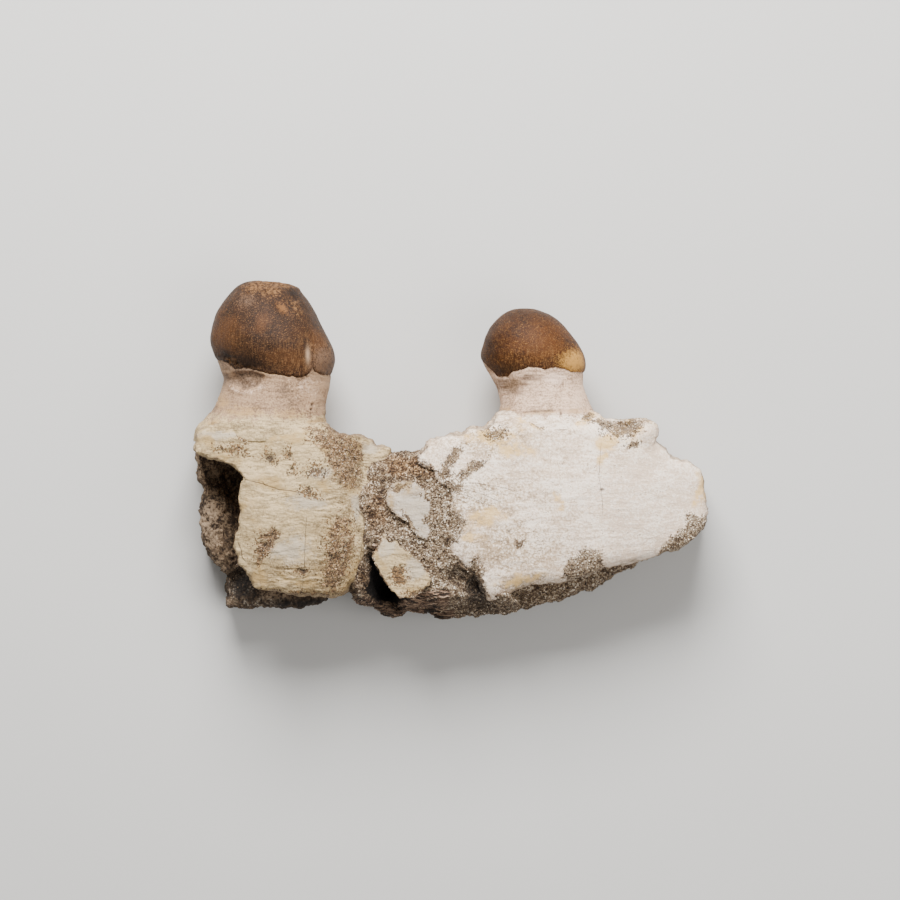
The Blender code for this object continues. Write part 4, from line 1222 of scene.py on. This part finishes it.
def make_grains(name, points, density, count, sizes, seed, node, slot, mean_tone):
    """One mesh of count grains on a grid. Each has a size between the two in millimetres, mostly small.

    A random number to the power 2.4 picks the size. The middle of a grain lies a tenth of it above the grid,
    and no corner lies under 0.05 mm. Tones spread by 0.22 round mean_tone.
    """
    rng = np.random.default_rng(seed)
    places, normals = strewn(points, density, count, rng)
    size = sizes[0] + (sizes[1] - sizes[0]) * rng.random(count) ** 2.4
    shape = CORNERS[None] * (0.7 + 0.6 * rng.random((count, len(CORNERS), 1)))
    shape = shape * (size[:, None] * (0.6 + 0.4 * rng.random((count, 3))) / 2)[:, None]
    shape = np.einsum("cij,cvj->cvi", turns(count, rng), shape)
    shape = shape + (places + normals * size[:, None] * 0.10)[:, None]
    shape[..., 2] = np.maximum(shape[..., 2], 0.05)
    faces = (SIDES[None] + len(CORNERS) * np.arange(count)[:, None, None]).reshape(-1, 3)
    mesh = bpy.data.meshes.new(name)
    mesh.from_pydata(shape.reshape(-1, 3) * MM, [], faces.tolist())
    x, y = places[:, 0], places[:, 1]
    # Grains are darker towards the bottom, darker by painted shade in the hollow, and darker where rust tints
    # them.
    patchy = 0.16 * rough_noise(places, 4, seed + 1, 3) - 0.12 * ease(-y, 34, 44)
    patchy = patchy - 0.55 * hollow(x, y) - 0.60 * rustiness(x, y)
    tones = np.clip(rng.normal(mean_tone, 0.22, count) + patchy, 0, 1)
    add_mark(mesh, "tone", np.repeat(tones, len(CORNERS)))
    add_mark(mesh, "rust", np.repeat(rustiness(x, y), len(CORNERS)))
    add_piece(name, mesh, sand_grains, node, slot)


sand_grains = grain_finish()
left_bed = ease(plate_sand + 1.5 * rough_noise(plate, 2.5, 209), -0.4, 1.4)
left_bed = np.maximum(left_bed, 0.45 * ease(plate_stains["grime"], 0.5, 0.95)) * plate_skin
right_bed = ease(right_sand + 0.8 * rough_noise(right, 2, 211), -0.5, 0.8)
right_bed = np.maximum(right_bed, 0.75 * ease(right_stains["grime"], 0.40, 0.85)) * right_skin
STREWINGS = [  # name, grid, density on it, grains, smallest and largest, seed, node, slot, mean tone
    ("grains_core", core, core_bed, 16000, (0.22, 0.80), 201, "matrix", "sandy_rock", 0.60),
    ("grains_ledge", ledge, ledge_bed, 13500, (0.22, 0.85), 203, "matrix", "sandy_rock", 0.50),
    ("grains_left", plate, left_bed, 2700, (0.2, 0.5), 205, "bone_left", "yellowed_bone", 0.42),
    # the wall's grains lie in the crevice and get a low tone there, as painted shade
    ("grains_wall", wall, crevice, 900, (0.2, 0.8), 217, "bone_left", "yellowed_bone", 0.14),
    ("grains_right", right, right_bed, 5400, (0.25, 0.8), 207, "bone_right", "pale_bone", 0.58),
    ("grains_upper", upper, upper_bed, 800, (0.25, 0.7), 213, "bone_chip_upper", "pale_bone", 0.58),
    ("grains_lower", lower, lower_bed, 600, (0.25, 0.7), 215, "bone_chip_lower", "yellowed_bone", 0.50),
]
for strewing in STREWINGS:
    make_grains(*strewing)

# %% [markdown]
# The crowns are nearly round, a little lopsided, and made of hard brown enamel. The root below is softer,
# pinkish cream, pinched in under the crown and flared where it grows out of the jaw. Both follow one stack
# of oval cross-sections up the tooth, with smooth curves between them.

# %% Cross-sections of the teeth
LARGE_TOOTH = [  # height, left edge, right edge, half the depth
    (3, -89.4, -39.4, 20.6), (5, -89.2, -39.8, 20.8), (7, -88.4, -40.8, 20.7), (8.8, -87.6, -42.3, 20.4),
    (10.5, -86.2, -43, 20), (14, -83.5, -43.3, 19), (17.5, -81.7, -43.1, 17.9), (21, -80, -42.5, 17.1),
    (24.5, -79.1, -42, 16.8), (28, -80.3, -41, 17.6), (31.5, -81.6, -40.3, 18.9), (35, -83, -41, 19.9),
    (38.5, -83.7, -42.4, 20.2), (42, -83.3, -43.8, 19.7), (45.5, -82.6, -45.5, 18.5),
    (49, -81.2, -47.3, 16.7), (52.5, -79.1, -49.7, 14.4), (55.4, -76.6, -51.9, 11.6),
    (57.4, -74.3, -53.6, 8.6), (58.6, -72, -58, 5.6), (59.2, -69.5, -61.5, 3), (59.5, -66.6, -65, 0.6),
]
SMALL_TOOTH = [
    (7, 13, 56.5, 20), (9, 14, 55.4, 19.6), (10.5, 15.4, 53.6, 18.6), (12.3, 16.8, 52, 17.6),
    (15.8, 18, 49.9, 15.9), (19.3, 17.6, 48.3, 14.8), (22.8, 16.5, 46.9, 14.3), (26.3, 14.5, 47, 14.7),
    (29.8, 12.3, 47.8, 15.9), (33.3, 11.4, 47.3, 16.9), (36.8, 11.9, 45.6, 16.7), (40.3, 12.9, 43.2, 15.7),
    (43.8, 14.9, 40.3, 13.5), (46.4, 17.6, 37.2, 10.6), (48.2, 20, 33.6, 7.6), (49.5, 22.8, 30, 3.6),
    (49.9, 25.4, 27, 0.8),
]
LARGE_AXIS, SMALL_AXIS = 23, 22  # height of each tooth's own middle line


def flowing(rows, count):
    """Rows joined by curves that pass through each of them: a cubic with slopes from both neighbours."""
    rows = np.array(rows, float)
    padded = np.vstack([2 * rows[0] - rows[1], rows, 2 * rows[-1] - rows[-2]])
    at = np.linspace(0, len(rows) - 1, count)
    piece = np.minimum(at.astype(int), len(rows) - 2)
    t = (at - piece)[:, None]
    p0, p1, p2, p3 = (padded[piece + step] for step in range(4))
    return p1 + 0.5 * t * (p2 - p0 + t * (2 * p0 - 5 * p1 + 4 * p2 - p3 + t * (3 * (p1 - p2) + p3 - p0)))


def oval_at(stations, height):
    """Left edge, right edge and half depth at any heights, read off the flowing curves."""
    fine = flowing(stations, 1200)
    return [np.interp(height, fine[:, 0], fine[:, column]) for column in (1, 2, 3)]


def tooth_surface(stations, heights, turn, axis, swell=0):
    """Points at heights and turns round the tooth: an oval with its own left and right edge at each height.

    x goes from the right edge to the left with the cosine of the turn, z with the sine times the depth.
    """
    left, right, depth = oval_at(stations, heights)
    x = (left + right) / 2 + ((right - left) / 2 + swell) * np.cos(turn)
    return np.dstack([x, heights, axis + (depth + swell) * np.sin(turn)])


print("large crown is widest at", max(LARGE_TOOTH, key=lambda row: row[2] - row[1])[0], "mm up")

# %% [markdown]
# The lower edge of the enamel is a wavy line with a notch in it. The crown's grid starts on that line and
# closes at the tip, so the edge is cut cleanly by the mesh and not by a coarse mask. The enamel is a little
# proud of the root, with a rounded lip.

# %% Crown surface
LARGE_EDGE = [
    (-83, 32), (-80.6, 31.6), (-79.2, 31.3), (-77.8, 30.2), (-76.4, 29.2), (-75, 28.3), (-70.1, 28.3),
    (-67.6, 27.8), (-65.8, 27.1), (-63, 26.7), (-59.5, 26.4), (-56, 26), (-51.4, 25.7), (-49.7, 26.4),
    (-48.6, 27.4), (-47.6, 29.3), (-46.9, 27.4), (-45.4, 26.9), (-42.6, 26), (-41.6, 26.4), (-40, 27),
]
SMALL_EDGE = [
    (11, 31.8), (12.2, 31.3), (13.6, 29.2), (15.4, 27.1), (16.1, 25.7), (20, 25.5), (21, 26.4),
    (22.1, 27.2), (24.9, 28.1), (27.7, 28.7), (29.8, 28.8), (33.7, 28.1), (37.2, 28.8), (38.9, 28.3),
    (41, 27.8), (43.2, 27.1), (47.4, 27.4), (49, 27.6),
]
BEHIND = 27.6                 # mean height of the enamel's edge on the hidden side


def edge_heights(stations, edge, turn, axis, seed):
    """Where the enamel ends at each turn: the seen line in front, a wavy level line behind.

    The seen line is read at the surface's x, which depends on the height, so a guess is mended three times.
    The waves are noise read on circles of 9 and 20 mm round the tooth, so that they close.
    """
    circle = np.column_stack([np.cos(turn), np.sin(turn), 0 * turn])
    behind = BEHIND + 0.9 * rough_noise(9 * circle, 6, seed)
    heights = np.full(turn.shape, 28.0)
    for _ in range(3):
        x = tooth_surface(stations, heights[None], turn[None], axis)[0, :, 0]
        front = np.interp(x, *np.array(edge).T)
        heights = np.where(np.sin(turn) > 0, front, front + (behind - front) * ease(-np.sin(turn), 0, 0.35))
    return heights + 0.25 * rough_noise(20 * circle, 1.6, seed + 3)


def pushed_out(points, height):
    """Points moved away from the tooth's own middle line by height millimetres."""
    away = points - points.mean(axis=1, keepdims=True)
    away = away / np.maximum(np.linalg.norm(away, axis=-1, keepdims=True), 1e-6)
    return points + height[..., None] * away


def crown_surface(stations, edge, axis, seed, sides=440, rings=120):
    """The crown's grid: from inside the lip, round it, and up to the tip, a little proud of the root.

    Rings crowd towards the tip by a part that follows a sine. Also gives each point's height above the lip.
    """
    turn = np.arange(sides) * 2 * math.pi / sides
    start = edge_heights(stations, edge, turn, axis, seed)
    rise = np.linspace(0, 1, rings)[:, None]
    share = 0.65 * rise + 0.35 * np.sin(rise * math.pi / 2)
    heights = start + share * (stations[-1][0] - 0.02 - start)
    body = tooth_surface(stations, heights, turn[None], axis)
    body = pushed_out(body, 0.25 * ease(heights - start, 0, 0.7) - 0.1)
    inner = tooth_surface(stations, np.tile(start + 0.4, (2, 1)), turn[None], axis, -2.5)
    inner[0] = inner[0].mean(axis=0) + 0.3 * (inner[0] - inner[0].mean(axis=0))
    crown = np.concatenate([inner, body])
    return crown, crown[..., 1] - start


# cross-sections, enamel's edge, axis and seed of each tooth, for its crown and its root
LARGE = (LARGE_TOOTH, LARGE_EDGE, LARGE_AXIS, 301)
SMALL = (SMALL_TOOTH, SMALL_EDGE, SMALL_AXIS, 321)
print("points of a crown:", crown_surface(*SMALL)[0].shape)

# %% [markdown]
# The root could end where the enamel begins, but a gap would show wherever the two edges don't agree to a
# hair, so it runs on inside the crown. Its relief fades towards the enamel, which stays smooth.

# %% Root surface and relief
ROOT_TOP = 36                 # the root's grid ends here, inside the crown


def root_surface(stations, edge, axis, seed, sides=400, rings=150):
    """The root's grid: from its foot in the jaw to a little way up inside the crown.

    Above the enamel's edge it is drawn in, so that it stays inside the crown. Also gives how far above the
    edge each point lies.
    """
    turn = np.arange(sides) * 2 * math.pi / sides
    heights = np.linspace(stations[0][0], ROOT_TOP, rings)[:, None] + 0 * turn
    body = tooth_surface(stations, heights, turn[None], axis)
    above = heights - edge_heights(stations, edge, turn, axis, seed)
    return pushed_out(body, -0.25 * ease(above, -0.9, 0) - 1.6 * ease(above, 0, 1.5)), above


def crown_pushed(crown, relief):
    """The crown with relief, but for the two rings inside its lip."""
    relief[:2] = 0
    return pushed(crown, relief)


def root_pushed(root, above, y, shoulder, lumps, seed, pits, own=0):
    """The root with waves, level growth lines, and lumps below the height where its shoulder begins.

    own is relief of this tooth alone. All of it fades towards the enamel, but not the pits.
    """
    low = 1 - ease(y, shoulder, 15)
    relief = 0.3 * rough_noise(root, 8, seed, 3) + own + lumps * low * rough_noise(root, 4, seed + 2, 4)
    relief += 0.10 * rough_noise(root / np.array([6, 0.8, 6]), 1, seed + 4, 2)
    return pushed(root, relief * (1 - ease(above, -2, -0.3)) - pits)


def seen_front(points, axis):
    """x and y as the camera sees them, and 1 on the side of a tooth that faces it, 0 past its axis."""
    x, y = seen(points)
    return x, y, ease(points[..., 2], axis - 1, axis + 7)


print("points of a root:", root_surface(*SMALL)[0].shape)

# %% [markdown]
# Enamel of a fossil crushing tooth is satin brown, from grey-brown to rusty orange, stippled all over with
# fine light grains and striped along the tooth near its edge. Worn places are sandy. All of it is colour
# over a fine bump, so it goes into the finish.

# %% Enamel and root finishes
def enamel_finish(name, deep, middle, warm, pale, bare, speckle, chip_edge):
    """Satin enamel from its tones: deep brown, middle brown, rusty, worn sandy, and chipped bare. Its
    marks also paint a sheen, a highlight and shade on it.

    speckle is how strongly the fine grain shows. chip_edge says where a chip begins and where it is full.
    """
    r = Recipe(name, 0.6)
    r.shader["Specular IOR Level"].default_value = 0.18
    cloud = r.noise(130, 5, 0.65, 0.4)
    grain = r.noise(2500, 3, 0.65)
    uneven = r.noise(900, 5, 0.72)
    along = r.node("Mapping", Vector=r.place, Scale=(2000, 90, 2000)).outputs["Vector"]
    stripe = r.noise(1, 3, 0.6, 0.2, along)
    r.colour = r.mix(r.rise(r.sum((0.5, cloud), (0.5, uneven)), 0.30, 0.58), deep, middle)
    r.coat(r.patch("rusty", (1.6, cloud), (1.2, uneven), -1.4, low=0.1, high=1), warm, 0.8)
    r.coat(r.rise(stripe, 0.46, 0.66), pale, r.times(r.mark("striped"), 0.42))
    # painted sheen: a greyer, lighter veil where the enamel would reflect the lamps
    r.coat(r.patch("painted_sheen", (1.5, uneven), (1.5, grain), -1.5, low=0.2, high=1), tone(120, 95, 77), 0.62)
    r.coat(r.rise(grain, 0.53, 0.70), pale, speckle)
    r.coat(r.rise(grain, 0.47, 0.32), deep, speckle)
    worn = r.patch("worn", (0.7, uneven), (3.2, grain), -1.95, low=0.35)
    r.coat(worn, r.mix(r.rise(uneven, 0.38, 0.60), middle, pale), 0.85)
    chipped = r.patch("chipped", (1.8, uneven), (1.4, grain), -1.6, low=chip_edge[0], high=chip_edge[1])
    r.coat(chipped, bare, 0.85)
    # painted highlight: a pale streak where a lamp's reflection would be
    r.coat(r.mark("painted_highlight"), tone(178, 148, 120), 0.75)
    # painted shade: near black where the crown turns away from the light
    r.coat(r.mark("dark"), tone(26, 18, 13))
    r.emboss(grain, 0.25, 0.7)
    r.emboss(stripe, 0.15, 0.35)
    r.emboss(uneven, 0.30, 0.5)
    return r.finish(r.sum((0.30, worn), (0.2, grain), 0.48))


def root_finish(name, light, ground, shade, jaw):
    """Matt root: cream with a pink cast, fine level growth lines, tan patches and a few pits.

    The mark foot turns it into the jaw's own bone, whose four tones are jaw.
    """
    r = Recipe(name, 0.75)
    speck = r.noise(1500, 5, 0.72)
    uneven = ragged_noise(r, speck)
    ring = r.streaks((300, 1900, 300), 5, 0.68, (0.0005, 0.0018, 0.0005))
    value = r.sum((0.18, ring), (0.35, r.noise(120, 5, 0.65)), (0.47, speck))
    r.colour = r.mix(r.rise(value, 0.55, 0.46), light, ground)
    r.coat(r.rise(value, 0.485, 0.40), shade, 0.80)
    r.coat(r.patch("pale", (3.4, uneven)), tone(238, 206, 184), 0.6)
    r.coat(r.patch("foot", (3.6, uneven), high=0.80), skin_colour(r, jaw, 0.6, speck)[0])
    r.coat(r.patch("ochre", (3.4, uneven)), tone(176, 138, 88), 0.65)
    gritty = r.mix(r.rise(speck, 0.43, 0.57), tone(80, 62, 48), tone(126, 101, 80))
    r.coat(r.patch("grime", (3.4, uneven)), gritty, 0.85)
    r.coat(r.mark("dark"), tone(40, 30, 23))
    r.emboss(ring, 0.30, 0.5)
    r.emboss(speck, 0.35, 0.7)
    return r.finish()


large_enamel = enamel_finish("large_enamel", tone(34, 23, 15), tone(53, 35, 23), tone(80, 51, 29),
                             tone(128, 94, 63), tone(116, 78, 46), speckle=0.66, chip_edge=(0.25, 0.90))
small_enamel = enamel_finish("small_enamel", tone(39, 22, 11), tone(65, 39, 20), tone(88, 53, 25),
                             tone(142, 104, 66), tone(204, 152, 78), speckle=0.60, chip_edge=(0.15, 1.30))
large_root = root_finish("large_root", tone(166, 135, 105), tone(136, 107, 81), tone(84, 66, 50), YELLOWED)
small_root = root_finish("small_root", tone(222, 188, 160), tone(176, 144, 118), tone(110, 90, 72), PALE)
print("tooth finishes:", large_enamel.name, small_enamel.name, large_root.name, small_root.name)

# %% [markdown]
# The large tooth has a worn top, a chip near it and a shallow hollow in its root, just under the crown.

# %% The large tooth
crown, above = crown_surface(*LARGE)
x, y, front = seen_front(crown, LARGE_AXIS)
worn = spots(x, y, [(-61.5, 59.2, 11, 2.2, -6), (-68, 57.6, 5, 2.4, 25), (-63, 56, 4.5, 2.4)])
worn = np.maximum(worn, 0.65 * spot(x, y, -54, 50, 2.2, 4.2, 20))
chip = spot(x, y, -58.4, 50, 3.8, 1.8, -38) * front
broken = spots(x, y, [(-76.5, 31, 4, 1.2, -25), (-70.5, 29, 4, 0.7, -5)]) * front
relief = 0.35 * rough_noise(crown, 9, 305, 3) - 0.8 * chip + 0.3 * worn * rough_noise(crown, 1.5, 307, 3)
relief += 0.7 * broken * rough_noise(crown, 1.3, 309, 3)
crown = crown_pushed(crown, relief)
# shaded is painted shade: under the lower left edge, which faces down away from the lamp, beside the chip and
# low on the left side. The sheen and highlight marks are painted reflections.
shaded = spots(x, y, [(-71.3, 31, 8, 2.4, -14), (-55, 55.2, 3, 1.4, -30), (-79, 33.5, 2.5, 2.5)])
marks = {
    "worn": 1.05 * worn + 0.10 + 0.70 * broken, "chipped": 0.85 * chip,
    "painted_highlight": spot(x, y, -49.7, 33.2, 0.8, 2.8) * front,
    "striped": (1 - ease(above, 3, 20)) * (0.7 + 0.8 * ease(x, -62, -46)),
    "rusty": spots(x, y, [(-79, 41, 6, 9), (-66, 44, 3, 4), (-46.5, 38, 4, 5, 20), (-56.5, 32, 9, 5)]),
    "painted_sheen": np.maximum(0.60 * spot(x, y, -71.5, 53, 5, 4, 30), spot(x, y, -44.5, 31, 5, 6)),
    "dark": 0.8 * shaded * front,
}
add_piece("large_crown", closed_mesh("large_crown", crown, marks), large_enamel, "tooth_large", "tooth")

root, above = root_surface(*LARGE)
x, y, front = seen_front(root, LARGE_AXIS)
lens = ease(spot(x, y, -71, 25.2, 6.4, 4.4, 14), 0.25, 0.70) * front
rim = ease(spot(x, y, -70.4, 24.6, 7, 4.9, 14), 0.22, 0.42) * (1 - lens) * ease(-y, -25, -21.5) * front
own = 0.3 * rim - 1.5 * lens + 0.25 * lens * rough_noise(root, 1.2, 317, 3)
pits = spots(x, y, [(-48.1, 15.8, 0.45, 0.6), (-48.5, 14.2, 0.45, 0.5)]) * front
root = root_pushed(root, above, y, shoulder=8, lumps=0.5, seed=311, pits=0.7 * pits, own=own)
tanned = spots(x, y, [(-72, 13.5, 9, 2.6), (-57, 12.5, 7, 2.4), (-46, 9.5, 5, 2), (-83, 9.5, 4, 2),
                      (-62, 27.5, 6, 1.2), (-80, 17, 3, 4, 20)])
# The lip below the hollow is painted paler, as light on its upturned edge; the hollow is painted darker.
marks = {"ochre": 0.8 * tanned, "pale": 0.55 * rim + 0.4 * spot(x, y, -50, 22.5, 5, 6),
         "grime": 0.95 * lens + spots(x, y, [(-76, 29, 5, 2, -25), (-78, 24.5, 1.8, 4, 20)]) - rim,
         "foot": 1 - ease(y, 6.5, 17.5), "dark": 0.85 * pits}
add_piece("large_root", closed_mesh("large_root", root, marks), large_root, "tooth_large", "tooth")

# %% [markdown]
# The small tooth is rustier, with a yellow patch at its right. Painted shade darkens its lower and
# left edge, and its top is painted darker as well.

# %% The small tooth
crown, above = crown_surface(*SMALL)
x, y, front = seen_front(crown, SMALL_AXIS)
crown = crown_pushed(crown, 0.3 * rough_noise(crown, 8, 325, 3))
# shaded: painted shade along the lower and left edges, which turn from the light; the top is painted darker
# as well
shaded = np.maximum(0.6 * spots(x, y, [(19.5, 28.2, 8.5, 2.2, 6), (11.8, 33, 1.2, 4, 10)]),
                    0.45 * spots(x, y, [(14, 40, 6, 9, -20), (26, 49.5, 12, 6)]))
marks = {
    "worn": 0.5 * spot(x, y, 23.5, 48.5, 1.2, 1), "painted_highlight": 0 * x,
    "chipped": 1.2 * spot(x, y, 44.2, 30.8, 5.4, 4.6) * front,
    "striped": 1 - ease(above, 2, 10),
    "rusty": 0.2 + 0.7 * spots(x, y, [(34, 38, 12, 8), (43, 32, 6, 6)]),
    "painted_sheen": 0.2 * spot(x, y, 17, 42, 4, 5), "dark": shaded * front,
}
add_piece("small_crown", closed_mesh("small_crown", crown, marks), small_enamel, "tooth_small", "tooth")

root, above = root_surface(*SMALL)
x, y, front = seen_front(root, SMALL_AXIS)
pits = spot(x, y, 39.3, 12.9, 0.4, 0.8) * front
root = root_pushed(root, above, y, shoulder=9, lumps=0.4, seed=331, pits=0.6 * pits)
tanned = spots(x, y, [(22.5, 23.5, 4, 3, 15), (31, 13.2, 11, 1.2, 3), (44, 13.5, 7, 1.2), (20, 14, 4, 2)])
marks = {"ochre": 0.8 * tanned, "pale": spot(x, y, 37.5, 25, 4.5, 3),
         "grime": spots(x, y, [(21, 23, 7, 3.8), (31, 13.6, 10, 0.5, 3), (28, 25.5, 5, 1.6)]),
         "foot": 1 - ease(y, 8.5, 16), "dark": 0.8 * pits}
add_piece("small_root", closed_mesh("small_root", root, marks), small_root, "tooth_small", "tooth")

# %% [markdown]
# The jaw lies on a plain pale floor. A broad soft light stands above its toothed edge, as in a studio, and
# a weaker one fills in from the lower right. A pale world lifts the shadows a little.

# %% Floor and light
def make_floor():
    """A square sheet on the ground plane, plain and pale."""
    half = 3.0
    corners = [(-half, -half, 0), (half, -half, 0), (half, half, 0), (-half, half, 0)]
    mesh = bpy.data.meshes.new("floor")
    mesh.from_pydata(corners, [], [(0, 1, 2, 3)])
    floor = bpy.data.objects.new("floor", mesh)
    bpy.context.scene.collection.objects.link(floor)
    r = Recipe("floor", 0.9)
    r.colour = r.mix(r.noise(8), tone(196, 194, 190), tone(202, 200, 196))
    r.emboss(r.noise(300), 0.02, 0.2)
    mesh.materials.append(r.finish())


def make_light(name, place, size, power):
    """A square soft light at a place in metres that faces the jaw."""
    data = bpy.data.lights.new(name, "AREA")
    data.shape, data.size, data.energy = "SQUARE", size, power
    light = bpy.data.objects.new(name, data)
    bpy.context.scene.collection.objects.link(light)
    light.location = place
    direction = np.array(place) / np.linalg.norm(place)
    light.rotation_euler = (math.acos(direction[2]), 0, math.atan2(direction[0], -direction[1]))


def make_world(strength):
    """White light of one strength from everywhere."""
    world = bpy.data.worlds.new("studio")
    world.use_nodes = True
    background = world.node_tree.nodes["Background"].inputs
    background["Color"].default_value = (1, 1, 1, 1)
    background["Strength"].default_value = strength
    bpy.context.scene.world = world


make_floor()
make_light("key", (-0.05, 0.63, 0.62), size=0.5, power=24.5)
make_light("fill", (0.55, -0.25, 0.80), size=0.7, power=4.5)
make_world(0.35)
print("lights:", [light.name for light in bpy.data.lights])

# %% [markdown]
# The camera looks straight down, far away with a long lens, so that the jaw shows as it does on a museum's
# copy stand.

# %% Camera
ASIDE = 0.26                  # of the picture's middle from the jaw's, in millimetres
camera_data = bpy.data.cameras.new("camera")
camera_data.lens, camera_data.sensor_width = LENS, SENSOR
camera_data.clip_start, camera_data.clip_end = 0.05, 20
camera = bpy.data.objects.new("camera", camera_data)
bpy.context.scene.collection.objects.link(camera)
camera.location = (ASIDE * MM, 0, (MIDDLE_PLANE + CAMERA_DISTANCE) * MM)
bpy.context.scene.camera = camera
print("camera above the floor, m:", round(camera.location.z, 3))

# %% [markdown]
# Last, the scene is brought up to date, so that every piece stands where it was put.

# %% Update the scene
bpy.context.view_layer.update()
